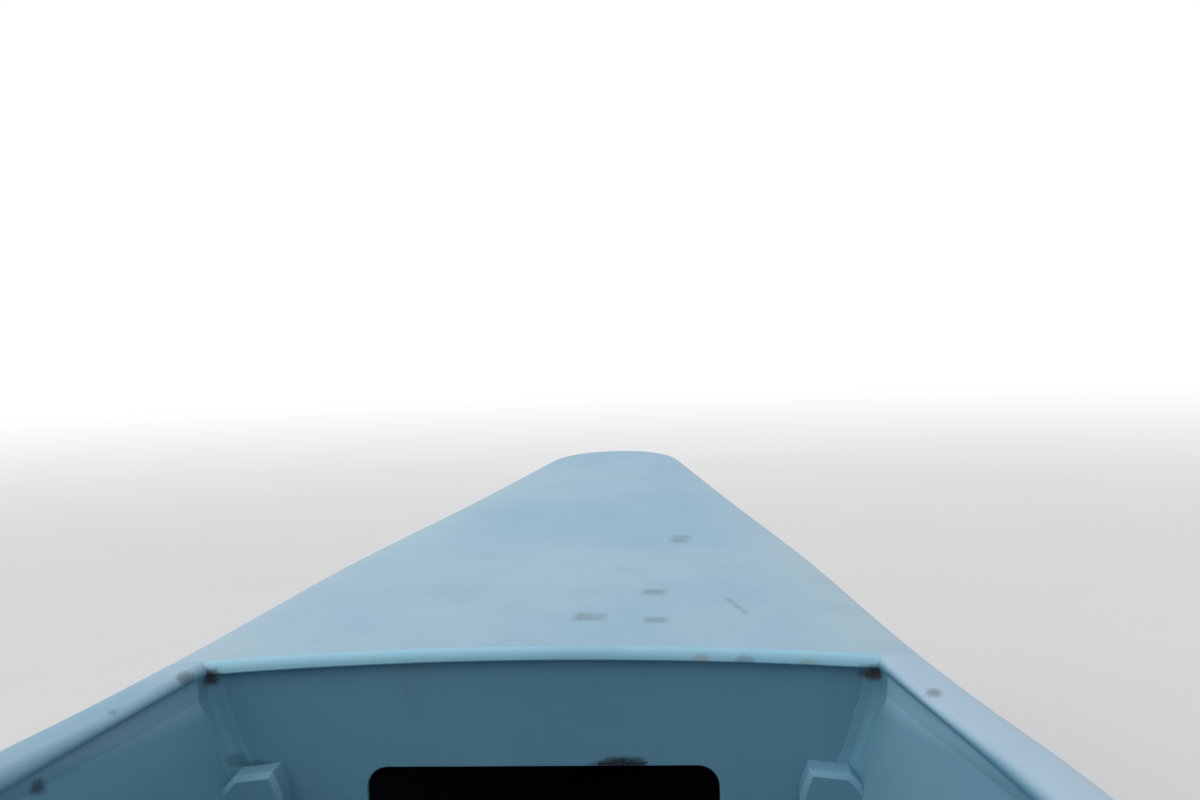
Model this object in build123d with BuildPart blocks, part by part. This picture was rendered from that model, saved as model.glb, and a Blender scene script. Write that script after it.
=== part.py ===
from build123d import *

import os
from collections import namedtuple
from math import cos, radians, sin, tan

# Open fibreglass lake skiff with a long cambered foredeck and an outboard on its transom.
# Millimetres. Origin amidships on the centreline at the waterline, +Y to the bow, +Z up.

os.makedirs("parts", exist_ok=True)

# Raked transom, and how far the hull lines run on aft of it
TRANSOM_Y = -3300.0
TRANSOM_RAKE = 12.0
TRANSOM_THICK = 40.0
RUN_OUT = 200.0
NOTCH_TOP = 380.0
NOTCH_WIDTH = 560.0
NOTCH_RADIUS = 40.0
NOTCH_EDGE = 4.0
CAP_SEAM = 2.5

# Hull lines, from the run aft of the transom to the stemhead. Half beam and sheer are taken
# over the gunwale cap, rim is how far the cap stands outboard of the topside, and half chine,
# chine and keel are on the outside of the hull.
Station = namedtuple("Station", "y half_beam rim sheer half_chine chine keel")
LINES = [
    Station(TRANSOM_Y - RUN_OUT, 780, 72, 448, 598, -50, -124),
    Station(-2300, 866, 72, 430, 677, -58, -142),
    Station(-1000, 908, 72, 432, 704, -55, -150),
    Station(100, 891, 72, 448, 674, -42, -152),
    Station(900, 805, 72, 475, 580, 12, -148),
    Station(1500, 625, 72, 524, 416, 75, -130),
    Station(2100, 470, 60, 579, 270, 168, -75),
    Station(2700, 314, 44, 619, 151, 300, 70),
    Station(3300, 151, 24, 669, 60, 540, 490),
]
BULKHEAD_Y = 1500.0
STEM_Y = LINES[-1].y
AFT_SPANS = 9
FORE_SPANS = 4
NOSE_RADIUS = 110.0
NOSE_TURNS = (22.0, 44.0, 65.0)
NOSE_AFT = STEM_Y - NOSE_RADIUS * sin(radians(NOSE_TURNS[-1]))
NOSE_CHINE_CUT = 0.25

# Laminate and seams
LAMINATE = 9.0
CAP_WALL = 6.0
FIT = 1.0
BOND = 0.4
CHINE_FLAT = 0.06
AFT_BOTTOM_SPANS = 7
SHEER_BAND = 54.0
HULL_DROP = 36.0
STEM_FRONT = STEM_Y - CAP_WALL - FIT
OVER = 220.0
HALF_OVER = 880.0

# Gunwale cap
CAP_WIDTH = 90.0
CAP_SKIRT = 52.0
CAP_LIP = 35.0
CAP_SHOULDER = 34.0
CAP_ROLL = 30.0

# Foredeck
DECK_WALL = 6.0
DECK_SKIRT = 52.0
DECK_SHOULDER = 34.0
DECK_CAMBER = 0.04
LIP_DEPTH = 27.0
LIP_THICK = 14.0
LIP_ROLL = 9.0
LIP_STEP = 1.0

# Fore bulkhead and its hatch
BULKHEAD_THICK = 12.0
BULKHEAD_SET = 3.0
HATCH_WIDTH = 572.0
HATCH_TOP = 350.0
HATCH_BOTTOM = 130.0
HATCH_RADIUS = 34.0

# Corner posts against the bulkhead, the starboard one's outline seen from aft
PostPoint = namedtuple("PostPoint", "x z")
POST_OUTLINE = [
    PostPoint(412, -200),
    PostPoint(412, 322),
    PostPoint(427, 360),
    PostPoint(491, 352),
    PostPoint(527, 312),
    PostPoint(527, -200),
]
POST_DEPTH = 60.0
POST_EDGE = 9.0

# Sole and its bearers
SOLE_TOP = -42.0
BOARD_THICK = 14.0
BOARD_WIDTH = 172.0
BOARD_GAP = 10.0
BOARD_COUNT = 5
SOLE_INSET = 330.0
SOLE_AFT = TRANSOM_Y + SOLE_INSET
SOLE_FORE = 1180.0
BEARER_THICK = 28.0
BEARER_COUNT = 7

# Thwarts, the risers under their ends and the pedestals under their middles
Thwart = namedtuple("Thwart", "name y")
THWARTS = [
    Thwart("thwart_fore", 760),
    Thwart("thwart_mid", -240),
    Thwart("thwart_main", -1240),
    Thwart("stern_seat", -2330),
]
THWART_TOP = 232.0
THWART_WIDTH = 270.0
THWART_DEPTH = 58.0
THWART_WALL = 9.0
THWART_RADIUS = 16.0
RISER_TOP = THWART_TOP - THWART_DEPTH - BOND
RISER_DEPTH = 60.0
RISER_WIDTH = 42.0
RISER_PAST_SEAT = 230.0
RISER_PAST_FORE = 240.0
RISER_AFT = THWARTS[-1].y - RISER_PAST_SEAT
RISER_FORE = THWARTS[0].y + RISER_PAST_FORE
PEDESTAL_WIDTH = 110.0
PEDESTAL_DEPTH = 46.0
PEDESTAL_RADIUS = 14.0

# Motor pads on the transom, measured down from the notch, and the transom's knees
Pad = namedtuple("Pad", "name forward thick height")
PAD_THICK = 16.0
OUTER_PAD_THICK = 5.0
PAD_WIDTH = 420.0
PAD_RADIUS = 14.0
PADS = [
    Pad("transom_pad_inner", TRANSOM_THICK + BOND, PAD_THICK, 300),
    Pad("transom_pad_outer", -BOND - OUTER_PAD_THICK, OUTER_PAD_THICK, 330),
]
KNEE_X = 330.0
KNEE_THICK = 30.0
KNEE_LENGTH = 260.0
KNEE_HEIGHT = 250.0
KNEE_HEAD = 42.0
KNEE_HEEL = 2.0

# Keel strip
KEEL_STRIP_WIDTH = 44.0
KEEL_STRIP_DROP = 26.0
KEEL_STRIP_FORE = 2350.0

# Motor axes, from the outer top edge of the motor notch
TILT_FORWARD = 5.0
TILT_UP = 32.0
STEER_AFT = 125.0
RUNNING = 0.05
PIVOT_GAP = 5.0

# Swivel bracket
TUBE_RADIUS = 13.0
SWIVEL_HALF = 74.0
SWIVEL_BARREL = 25.0
SWIVEL_TUBE = 32.0
SWIVEL_TOP = 35.0
SWIVEL_LENGTH = 335.0
SWIVEL_EDGE = 14.0
KINGPIN = 18.0

# Clamp bracket: outlines and pins in the transom's own axes, forward of and up from the notch edge
OnTransom = namedtuple("OnTransom", "forward up")
CLAMP_PLATE = 12.0
EAR_HALF = 20.0
EAR_RISE = 25.0
EAR_HEEL = 8.0
CLAMP_X = SWIVEL_HALF + PIVOT_GAP
SKIN = -OUTER_PAD_THICK - 2 * BOND
JAW = TRANSOM_THICK + PAD_THICK + 3 * BOND
JAW_OUTLINE = [
    OnTransom(SKIN, -300),
    OnTransom(SKIN, 4),
    OnTransom(JAW, 4),
    OnTransom(JAW, -120),
    OnTransom(JAW + 26, -112),
    OnTransom(JAW + 26, 12),
    OnTransom(JAW + 8, 36),
    OnTransom(TILT_FORWARD + EAR_HALF, TILT_UP + EAR_RISE),
    OnTransom(TILT_FORWARD - EAR_HALF, TILT_UP + EAR_RISE),
    OnTransom(-38, TILT_UP - EAR_HEEL),
    OnTransom(-61, -100),
    OnTransom(-61, -270),
    OnTransom(-36, -300),
]
THRUST = OnTransom(-45, -230)
THRUST_PIN = 8.0
SCREW = OnTransom(JAW, -72)
SCREW_RADIUS = 9.0
SCREW_LENGTH = 72.0
HANDLE_BACK = 46.0
HANDLE_LENGTH = 60.0
HANDLE_WIDTH = 16.0

# Steering yokes and the leg; the leg's rows are streamlined plan sections
YOKE_THICK = 26.0
LEG_GAP = 7.0
FOIL_WAIST = 0.88
FOIL_TAIL = 0.2
LegRow = namedtuple("LegRow", "z half_width length")
PAN_BOTTOM = 522.0
PLATE_Z = -146.0
PLATE_THICK = 9.0
LEG_ROWS = [
    LegRow(PLATE_Z + PLATE_THICK + BOND, 30, 142),
    LegRow(150, 36, 154),
    LegRow(380, 40, 172),
    LegRow(PAN_BOTTOM - BOND, 54, 226),
]

# Gearcase: distances back from the tip of the torpedo's nose
Torpedo = namedtuple("Torpedo", "back radius")
TORPEDO = [
    Torpedo(0, 5),
    Torpedo(6, 14),
    Torpedo(24, 26),
    Torpedo(54, 36),
    Torpedo(96, 41),
    Torpedo(170, 41),
    Torpedo(300, 34),
]
NOSE_AHEAD = 90.0
PROP_DROP = 196.0
PLATE_LENGTH = 400.0
PLATE_WIDTH = 190.0
PLATE_AHEAD = 40.0
STRUT_HALF = 25.0
STRUT_LENGTH = 150.0
SKEG_THICK = 7.0
SkegPoint = namedtuple("SkegPoint", "back drop")
SKEG = [
    SkegPoint(15, 0),
    SkegPoint(96, 118),
    SkegPoint(122, 140),
    SkegPoint(158, 140),
    SkegPoint(196, 0),
]

# Propeller: the blades' rows are lens sections square to the blade, turned to its pitch
SHAFT_RADIUS = 11.0
SHAFT_LENGTH = 75.0
HUB_RADIUS = 34.0
HUB_LENGTH = 84.0
HUB_TAPER = 4.0
BLADE_COUNT = 3
LENS_FLAT = 0.22
BladeRow = namedtuple("BladeRow", "radius chord thick pitch")
BLADE_ROWS = [
    BladeRow(22, 50, 11, 54),
    BladeRow(62, 80, 8, 40),
    BladeRow(100, 84, 6, 30),
    BladeRow(128, 46, 3, 25),
]

# Bottom pan and cowling: rounded plan sections reaching fore and aft of the steering axis
CowlRow = namedtuple("CowlRow", "up width fore aft corner")
PAN_HEIGHT = 62.0
PAN_FORE = 165.0
PAN_ROWS = [
    CowlRow(0, 250, 140, 318, 60),
    CowlRow(22, 296, PAN_FORE, 342, 72),
    CowlRow(PAN_HEIGHT, 300, PAN_FORE, 345, 74),
]
COWL_ROWS = [
    CowlRow(PAN_HEIGHT + BOND, 300, PAN_FORE, 345, 74),
    CowlRow(150, 306, 162, 349, 78),
    CowlRow(250, 290, 146, 338, 78),
    CowlRow(312, 256, 116, 308, 72),
    CowlRow(340, 216, 84, 274, 64),
    CowlRow(349, 172, 52, 236, 54),
]

# Tiller arm and its twist grip
TILLER_UP = 31.0
TILLER_WIDTH = 44.0
TILLER_HEIGHT = 36.0
TILLER_RADIUS = 7.0
TILLER_SLIM = 0.75
ARM_LENGTH = 310.0
GRIP_RADIUS = 19.0
GRIP_LENGTH = 120.0
GRIP_EDGE = 4.0


def across(y):
    """Plane square to the centreline at y, local x to starboard, local y up."""
    return Plane.XZ.offset(-y)


def faired(y):
    """Station at y on smooth curves through the hull lines, without the rounding of the nose."""
    upper = next(i for i in range(1, len(LINES)) if y <= LINES[i].y)
    near, far = LINES[upper - 1], LINES[upper]
    span = far.y - near.y
    t = (y - near.y) / span
    values = []
    for column in range(1, len(near)):
        slopes = []
        for i in (upper - 1, upper):
            before, after = LINES[max(i - 1, 0)], LINES[min(i + 1, len(LINES) - 1)]
            slopes.append((after[column] - before[column]) / (after.y - before.y) * span)
        ends = (2 * t**3 - 3 * t**2 + 1) * near[column] + (3 * t**2 - 2 * t**3) * far[column]
        values.append(ends + (t**3 - 2 * t**2 + t) * slopes[0] + (t**3 - t**2) * slopes[1])
    return Station(y, *values)


def nose_station(turn):
    """Station on the round of the nose, turned from straight ahead of the topside."""
    row = faired(min(NOSE_AFT + NOSE_RADIUS * sin(radians(turn)), STEM_Y))
    cut = NOSE_RADIUS * (1 - cos(radians(turn)))
    return row._replace(half_beam=row.half_beam - cut, half_chine=row.half_chine - cut * NOSE_CHINE_CUT)


aft_step = (BULKHEAD_Y - LINES[0].y) / AFT_SPANS
AFT_ROWS = [faired(LINES[0].y + i * aft_step) for i in range(AFT_SPANS + 1)]
fore_step = (NOSE_AFT - BULKHEAD_Y) / FORE_SPANS
DECK_ROWS = [faired(BULKHEAD_Y + i * fore_step) for i in range(FORE_SPANS + 1)]
DECK_ROWS += [nose_station(turn) for turn in NOSE_TURNS]
HULL_ROWS = AFT_ROWS[:-1] + DECK_ROWS


def half_section(row, inset):
    """Outside of the hull from keel to the top of the topside, starboard, moved inward by the inset."""
    side = row.half_beam - row.rim - inset
    flat = row.half_chine * (1 - CHINE_FLAT)
    return [
        (0, row.keel + inset),
        (flat - inset, row.chine + inset),
        (row.half_chine - inset, row.chine + inset),
        (side, row.sheer - SHEER_BAND),
    ]


def hull_body(inset=0.0, rise=0.0, rows=HULL_ROWS):
    """Solid within the hull's outside, inset all round and raised above the topsides' upper edge."""
    with BuildPart() as body:
        for row in rows:
            along = STEM_FRONT - inset if row.y == STEM_Y else row.y
            head = (row.half_beam - row.rim - inset, row.sheer - HULL_DROP + rise)
            starboard = half_section(row, inset) + [head]
            port = [(-x, z) for x, z in reversed(starboard[1:])]
            with BuildSketch(across(along)):
                with BuildLine():
                    Polyline(*starboard, *port, close=True)
                make_face()
        loft(ruled=True)
    return body.part


def bottom_outline(row):
    """Bottom panel from chine to chine, its edges mitred for the topsides."""
    keel, flat, chine, _ = half_section(row, 0)
    inner_keel, inner_flat, inner_chine, _ = half_section(row, LAMINATE)
    starboard = [flat, chine, inner_chine, inner_flat]
    port = [(-x, z) for x, z in starboard]
    return [keel, *starboard, inner_keel, *reversed(port)]


def topside_outline(row):
    """Starboard topside from the chine's mitre up to its flange under the cap or deck."""
    _, _, chine, band = half_section(row, 0)
    _, _, inner_chine, inner_band = half_section(row, LAMINATE)
    edge = row.half_beam - CAP_WALL - FIT
    top = row.sheer - HULL_DROP
    return [
        (chine[0], chine[1] + BOND),
        band,
        (band[0], top - LAMINATE),
        (edge, top - LAMINATE),
        (edge, top),
        (inner_band[0], top),
        inner_band,
        (inner_chine[0], inner_chine[1] + BOND),
    ]


def panel(outline, rows, side=1, butt=0.0):
    """Hull panel lofted through its outlines, with room for a butt at its aft end and the deck at the stem."""
    with BuildPart() as body:
        for row in rows:
            along = row.y
            if row is rows[0]:
                along += butt
            if row.y == STEM_Y:
                along = STEM_FRONT
            with BuildSketch(across(along)):
                with BuildLine():
                    Polyline(*[(side * x, z) for x, z in outline(row)], close=True)
                make_face()
        loft(ruled=True)
        split(bisect_by=transom_plane(), keep=Keep.TOP)
    return body.part


def transom_plane(forward=0.0):
    """Raked plane of the transom's outer face, moved forward."""
    rake = radians(TRANSOM_RAKE)
    outer = Vector(0, TRANSOM_Y, 0)
    normal = Vector(0, cos(rake), sin(rake))
    return Plane(origin=outer + normal * forward, x_dir=(1, 0, 0), z_dir=normal)


def on_transom(forward, up):
    """Point (y, z) from the outer top edge of the motor notch, along the transom's own axes."""
    rake = radians(TRANSOM_RAKE)
    top_y = TRANSOM_Y - NOTCH_TOP * tan(rake)
    return (
        top_y + forward * cos(rake) - up * sin(rake),
        NOTCH_TOP + forward * sin(rake) + up * cos(rake),
    )


def square_to_transom(x, forward, up):
    """Plane facing forward along the transom's normal, at a point in the transom's own axes."""
    rake = radians(TRANSOM_RAKE)
    return Plane(origin=(x, *on_transom(forward, up)), x_dir=(1, 0, 0), z_dir=(0, cos(rake), sin(rake)))


TILT_Y, TILT_Z = on_transom(TILT_FORWARD, TILT_UP)
STEER_Y = TILT_Y - STEER_AFT
PROP_Z = PLATE_Z - PROP_DROP

fitted = hull_body(LAMINATE + BOND, OVER)

# Bottom: a shallow V from chine to chine in two lengths, butted amidships
for name, rows, butt in (
    ("hull_bottom_aft", HULL_ROWS[: AFT_BOTTOM_SPANS + 1], 0),
    ("hull_bottom_fore", HULL_ROWS[AFT_BOTTOM_SPANS:], BOND),
):
    with BuildPart() as bottom:
        add(panel(bottom_outline, rows, butt=butt))
    bottom.part.label = name
    export_step(bottom.part, f"parts/{name}.step")

# Topsides: flared panels from the chine to the flange that the cap and deck sit on
for side_name, side in (("port", -1), ("starboard", 1)):
    with BuildPart() as topside:
        add(panel(topside_outline, HULL_ROWS, side))
    topside.part.label = f"topside_{side_name}"
    export_step(topside.part, f"parts/topside_{side_name}.step")

# Transom board between the panels, with the motor notch, and the plate that closes the stem
with BuildPart() as transom_board:
    add(hull_body(LAMINATE + BOND))
    split(bisect_by=transom_plane(), keep=Keep.TOP)
    split(bisect_by=transom_plane(TRANSOM_THICK), keep=Keep.BOTTOM)
    with BuildSketch(across(TRANSOM_Y - OVER)):
        with Locations((0, NOTCH_TOP + OVER)):
            RectangleRounded(NOTCH_WIDTH, 2 * OVER, NOTCH_RADIUS)
    extrude(amount=-2 * OVER, mode=Mode.SUBTRACT)
transom_board.part.label = "transom_board"
export_step(transom_board.part, "parts/transom_board.step")

with BuildPart() as stem_plate:
    stem_row = HULL_ROWS[-1]
    starboard = half_section(stem_row, LAMINATE + BOND)
    starboard.append((starboard[-1][0], stem_row.sheer - HULL_DROP))
    with BuildSketch(across(STEM_FRONT)):
        with BuildLine():
            Polyline(*starboard, *[(-x, z) for x, z in reversed(starboard[1:])], close=True)
        make_face()
    extrude(amount=LAMINATE)
stem_plate.part.label = "stem_plate"
export_step(stem_plate.part, "parts/stem_plate.step")

# Gunwale caps: an inverted U over each topside, from the transom to the foredeck
for side_name, side in (("port", -1), ("starboard", 1)):
    with BuildPart() as gunwale:
        for row in AFT_ROWS:
            butt = BOND if row is AFT_ROWS[-1] else 0
            outer = row.half_beam
            inner = row.half_beam - CAP_WIDTH
            with BuildSketch(across(row.y - butt)) as section:
                with BuildLine():
                    Polyline(
                        (side * outer, row.sheer - CAP_SKIRT),
                        (side * outer, row.sheer),
                        (side * inner, row.sheer),
                        (side * inner, row.sheer - CAP_LIP),
                        (side * (inner + CAP_WALL), row.sheer - CAP_LIP),
                        (side * (inner + CAP_WALL), row.sheer - CAP_WALL),
                        (side * (outer - CAP_WALL), row.sheer - CAP_WALL),
                        (side * (outer - CAP_WALL), row.sheer - CAP_SKIRT),
                        close=True,
                    )
                make_face()
                for level, wall in ((-2, CAP_WALL), (-1, 0)):
                    corners = section.vertices().group_by(Axis.Y)[level].sort_by(lambda v: abs(v.X))
                    fillet(corners[0], CAP_ROLL - wall)
                    fillet(corners[-1], CAP_SHOULDER - wall)
        loft(ruled=True)
        split(bisect_by=transom_plane(), keep=Keep.TOP)
    gunwale.part.label = f"gunwale_{side_name}"
    export_step(gunwale.part, f"parts/gunwale_{side_name}.step")

# Transom cap: a channel over the transom each side of the notch, its aft skirt across the gunwale's end
cap_row = faired(TRANSOM_Y - NOTCH_TOP * tan(radians(TRANSOM_RAKE)))
cap_top = (cap_row.sheer - NOTCH_TOP) / cos(radians(TRANSOM_RAKE))
hull_top = cap_top - HULL_DROP / cos(radians(TRANSOM_RAKE))
cap_aft = -CAP_WALL - FIT
cap_fore = TRANSOM_THICK + CAP_WALL + FIT
cap_near = NOTCH_WIDTH / 2 + NOTCH_EDGE
cap_far = cap_row.half_beam - CAP_WIDTH - CAP_SEAM
channel_outline = [
    OnTransom(cap_aft, cap_top - CAP_SKIRT),
    OnTransom(cap_aft, cap_top),
    OnTransom(cap_fore, cap_top),
    OnTransom(cap_fore, cap_top - CAP_SKIRT),
    OnTransom(cap_fore - CAP_WALL, cap_top - CAP_SKIRT),
    OnTransom(cap_fore - CAP_WALL, cap_top - CAP_WALL),
    OnTransom(cap_aft + CAP_WALL, cap_top - CAP_WALL),
    OnTransom(cap_aft + CAP_WALL, cap_top - CAP_SKIRT),
]
stop_outline = [
    OnTransom(cap_aft + CAP_WALL, hull_top + FIT),
    OnTransom(cap_aft + CAP_WALL, cap_top - CAP_WALL),
    OnTransom(cap_fore - CAP_WALL, cap_top - CAP_WALL),
    OnTransom(cap_fore - CAP_WALL, hull_top + FIT),
]
with BuildPart() as half_cap:
    with BuildSketch(Plane.YZ.offset(cap_near)):
        with BuildLine():
            Polyline(*[on_transom(*point) for point in channel_outline], close=True)
        make_face()
    extrude(amount=cap_far - cap_near)
    with BuildSketch(Plane.YZ.offset(cap_near)):
        with BuildLine():
            Polyline(*[on_transom(*point) for point in stop_outline], close=True)
        make_face()
    extrude(amount=CAP_WALL)
    with BuildSketch(square_to_transom(0, cap_aft, 0)) as skirt:
        with Locations(((cap_near + cap_row.half_beam) / 2, CAP_SKIRT / 2 - cap_top)):
            Rectangle(cap_row.half_beam - cap_near, CAP_SKIRT)
        fillet(skirt.vertices().group_by(Axis.Y)[0].sort_by(Axis.X)[-1], CAP_SHOULDER)
    extrude(amount=CAP_WALL)
with BuildPart() as transom_cap:
    add(half_cap.part)
    mirror(about=Plane.YZ)
transom_cap.part.label = "transom_cap"
export_step(transom_cap.part, "parts/transom_cap.step")


def deck_body(inset, drop):
    """Cambered deck with rolled shoulders, inset all round, its skirts dropped."""
    with BuildPart() as body:
        for row in DECK_ROWS:
            half = row.half_beam - inset
            top = row.sheer - inset
            crown = top + row.half_beam * DECK_CAMBER
            with BuildSketch(across(row.y - (inset if row.y == STEM_Y else 0))) as section:
                with BuildLine():
                    Line((-half, row.sheer - drop), (-half, top))
                    ThreePointArc((-half, top), (0, crown), (half, top))
                    Line((half, top), (half, row.sheer - drop))
                    Line((half, row.sheer - drop), (-half, row.sheer - drop))
                make_face()
                shoulders = section.vertices().filter_by(lambda v: abs(v.Y - top) < BOND)
                fillet(shoulders, DECK_SHOULDER - inset)
        loft(ruled=True)
    return body.part


# Foredeck: a cambered moulding with shoebox skirts and a rolled lip at its aft edge
deck_outside = deck_body(0, DECK_SKIRT)
deck_inside = deck_body(DECK_WALL, OVER)
under_deck = deck_body(DECK_WALL + BOND, 3 * OVER)
root = DECK_ROWS[0]
camber = root.half_beam * DECK_CAMBER
crown_radius = (root.half_beam**2 + camber**2) / (2 * camber)
lip_half = root.half_beam - CAP_WIDTH - BOND
lip_crown = root.sheer + camber - LIP_STEP
lip_edge = lip_crown - crown_radius + (crown_radius**2 - lip_half**2) ** 0.5
with BuildPart() as foredeck:
    add(deck_outside)
    add(deck_inside, mode=Mode.SUBTRACT)
    with BuildSketch(across(root.y)):
        with BuildLine():
            ThreePointArc((-lip_half, lip_edge), (0, lip_crown), (lip_half, lip_edge))
            Line((lip_half, lip_edge), (lip_half, lip_edge - LIP_DEPTH))
            ThreePointArc(
                (lip_half, lip_edge - LIP_DEPTH),
                (0, lip_crown - LIP_DEPTH),
                (-lip_half, lip_edge - LIP_DEPTH),
            )
            Line((-lip_half, lip_edge - LIP_DEPTH), (-lip_half, lip_edge))
        make_face()
    extrude(amount=LIP_THICK)
    rolled = foredeck.edges().group_by(Axis.Y)[0].sort_by(Axis.Z)[-1]
    fillet(rolled, LIP_ROLL)
foredeck.part.label = "foredeck"
export_step(foredeck.part, "parts/foredeck.step")

# Fore bulkhead under the deck's aft edge, with the open hatch to the bow locker
with BuildPart() as bulkhead:
    with BuildSketch(across(root.y + BULKHEAD_SET)):
        with Locations((0, (root.sheer + root.keel) / 2)):
            Rectangle(2 * root.half_beam, root.sheer - root.keel + OVER)
        with Locations((0, (HATCH_TOP + HATCH_BOTTOM) / 2)):
            RectangleRounded(HATCH_WIDTH, HATCH_TOP - HATCH_BOTTOM, HATCH_RADIUS, mode=Mode.SUBTRACT)
    extrude(amount=-BULKHEAD_THICK)
    add(fitted, mode=Mode.INTERSECT)
    add(under_deck, mode=Mode.INTERSECT)
bulkhead.part.label = "fore_bulkhead"
export_step(bulkhead.part, "parts/fore_bulkhead.step")

# Corner posts between the bulkhead and the topsides, their edges eased
with BuildPart() as half_posts:
    with BuildSketch(across(root.y + BULKHEAD_SET - BOND)):
        with BuildLine():
            Polyline(*POST_OUTLINE, close=True)
        make_face()
    extrude(amount=POST_DEPTH)
    chamfer(half_posts.faces().sort_by(Axis.Y)[0].edges(), POST_EDGE)
    add(fitted, mode=Mode.INTERSECT)
for side_name, turned in (("port", True), ("starboard", False)):
    with BuildPart() as post:
        add(half_posts.part.mirror(Plane.YZ) if turned else half_posts.part)
    post.part.label = f"corner_post_{side_name}"
    export_step(post.part, f"parts/corner_post_{side_name}.step")

# Floor bearers: cross frames shaped to the bottom, level on top
bearer_step = (SOLE_FORE - SOLE_AFT - 2 * BEARER_THICK) / (BEARER_COUNT - 1)
with BuildPart() as bearers:
    for index in range(BEARER_COUNT):
        bearer_y = SOLE_AFT + BEARER_THICK + index * bearer_step
        with BuildSketch(across(bearer_y - BEARER_THICK / 2)):
            with Locations((0, SOLE_TOP - BOARD_THICK - BOND - OVER / 2)):
                Rectangle(HALF_OVER, OVER)
        extrude(amount=-BEARER_THICK)
    add(fitted, mode=Mode.INTERSECT)
bearers.part.label = "floor_bearers"
export_step(bearers.part, "parts/floor_bearers.step")

# Sole boards laid fore and aft on the bearers
with BuildPart() as sole:
    with BuildSketch(Plane.XY.offset(SOLE_TOP - BOARD_THICK)):
        with Locations((0, (SOLE_AFT + SOLE_FORE) / 2)):
            with GridLocations(BOARD_WIDTH + BOARD_GAP, 0, BOARD_COUNT, 1):
                Rectangle(BOARD_WIDTH, SOLE_FORE - SOLE_AFT)
    extrude(amount=BOARD_THICK)
    add(fitted, mode=Mode.INTERSECT)
sole.part.label = "sole_boards"
export_step(sole.part, "parts/sole_boards.step")

# Risers along the topsides that carry the thwarts
hollow = hull_body(LAMINATE + BOND + RISER_WIDTH, OVER, AFT_ROWS)
for side_name, side in (("port", -1), ("starboard", 1)):
    with BuildPart() as riser:
        with BuildSketch(Plane.XY.offset(RISER_TOP - RISER_DEPTH)):
            with Locations((side * HALF_OVER / 2, (RISER_AFT + RISER_FORE) / 2)):
                Rectangle(HALF_OVER, RISER_FORE - RISER_AFT)
        extrude(amount=RISER_DEPTH)
        add(fitted, mode=Mode.INTERSECT)
        add(hollow, mode=Mode.SUBTRACT)
    riser.part.label = f"riser_{side_name}"
    export_step(riser.part, f"parts/riser_{side_name}.step")

# Thwarts: moulded trays, open below, on the risers and one pedestal each
for thwart_row in THWARTS:
    with BuildPart() as thwart:
        with BuildSketch(Plane.YZ.offset(-HALF_OVER)) as profile:
            with Locations((thwart_row.y, THWART_TOP - THWART_DEPTH / 2)):
                Rectangle(THWART_WIDTH, THWART_DEPTH)
            fillet(profile.vertices().group_by(Axis.Y)[-1], THWART_RADIUS)
        extrude(amount=2 * HALF_OVER)
        with BuildSketch(Plane.YZ.offset(-HALF_OVER)) as core:
            with Locations((thwart_row.y, THWART_TOP - THWART_WALL - THWART_DEPTH / 2)):
                Rectangle(THWART_WIDTH - 2 * THWART_WALL, THWART_DEPTH)
            fillet(core.vertices().group_by(Axis.Y)[-1], THWART_RADIUS - THWART_WALL)
        extrude(amount=2 * HALF_OVER, mode=Mode.SUBTRACT)
        add(fitted, mode=Mode.INTERSECT)
    thwart.part.label = thwart_row.name
    export_step(thwart.part, f"parts/{thwart_row.name}.step")

# Pedestals under the middle of each thwart
with BuildPart() as pedestals:
    with BuildSketch(Plane.XY.offset(SOLE_TOP + BOND)):
        with Locations(*[(0, thwart_row.y) for thwart_row in THWARTS]):
            RectangleRounded(PEDESTAL_WIDTH, PEDESTAL_DEPTH, PEDESTAL_RADIUS)
    extrude(amount=THWART_TOP - THWART_WALL - SOLE_TOP - 2 * BOND)
pedestals.part.label = "thwart_pedestals"
export_step(pedestals.part, "parts/thwart_pedestals.step")

# Motor pads on both faces of the transom
notch_along = NOTCH_TOP / cos(radians(TRANSOM_RAKE))
for pad_row in PADS:
    with BuildPart() as pad:
        with BuildSketch(transom_plane(pad_row.forward)):
            with Locations((0, -(notch_along - pad_row.height / 2))):
                RectangleRounded(PAD_WIDTH, pad_row.height, PAD_RADIUS)
        extrude(amount=pad_row.thick)
    pad.part.label = pad_row.name
    export_step(pad.part, f"parts/{pad_row.name}.step")

# Transom knees, each a triangular web between the bottom and the transom
heel = TRANSOM_Y + TRANSOM_THICK + KNEE_HEEL
head = heel - KNEE_HEIGHT * tan(radians(TRANSOM_RAKE)) + KNEE_HEAD
for side_name, side in (("port", -1), ("starboard", 1)):
    with BuildPart() as knee:
        with BuildSketch(Plane.YZ.offset(side * KNEE_X - KNEE_THICK / 2)):
            with BuildLine():
                Polyline(
                    (heel - OVER, -OVER),
                    (heel + KNEE_LENGTH, -OVER),
                    (heel + KNEE_LENGTH, SOLE_TOP),
                    (head, KNEE_HEIGHT),
                    (heel - OVER, KNEE_HEIGHT),
                    close=True,
                )
            make_face()
        extrude(amount=KNEE_THICK)
        add(fitted, mode=Mode.INTERSECT)
        split(bisect_by=transom_plane(TRANSOM_THICK + BOND), keep=Keep.TOP)
    knee.part.label = f"transom_knee_{side_name}"
    export_step(knee.part, f"parts/transom_knee_{side_name}.step")

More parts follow.
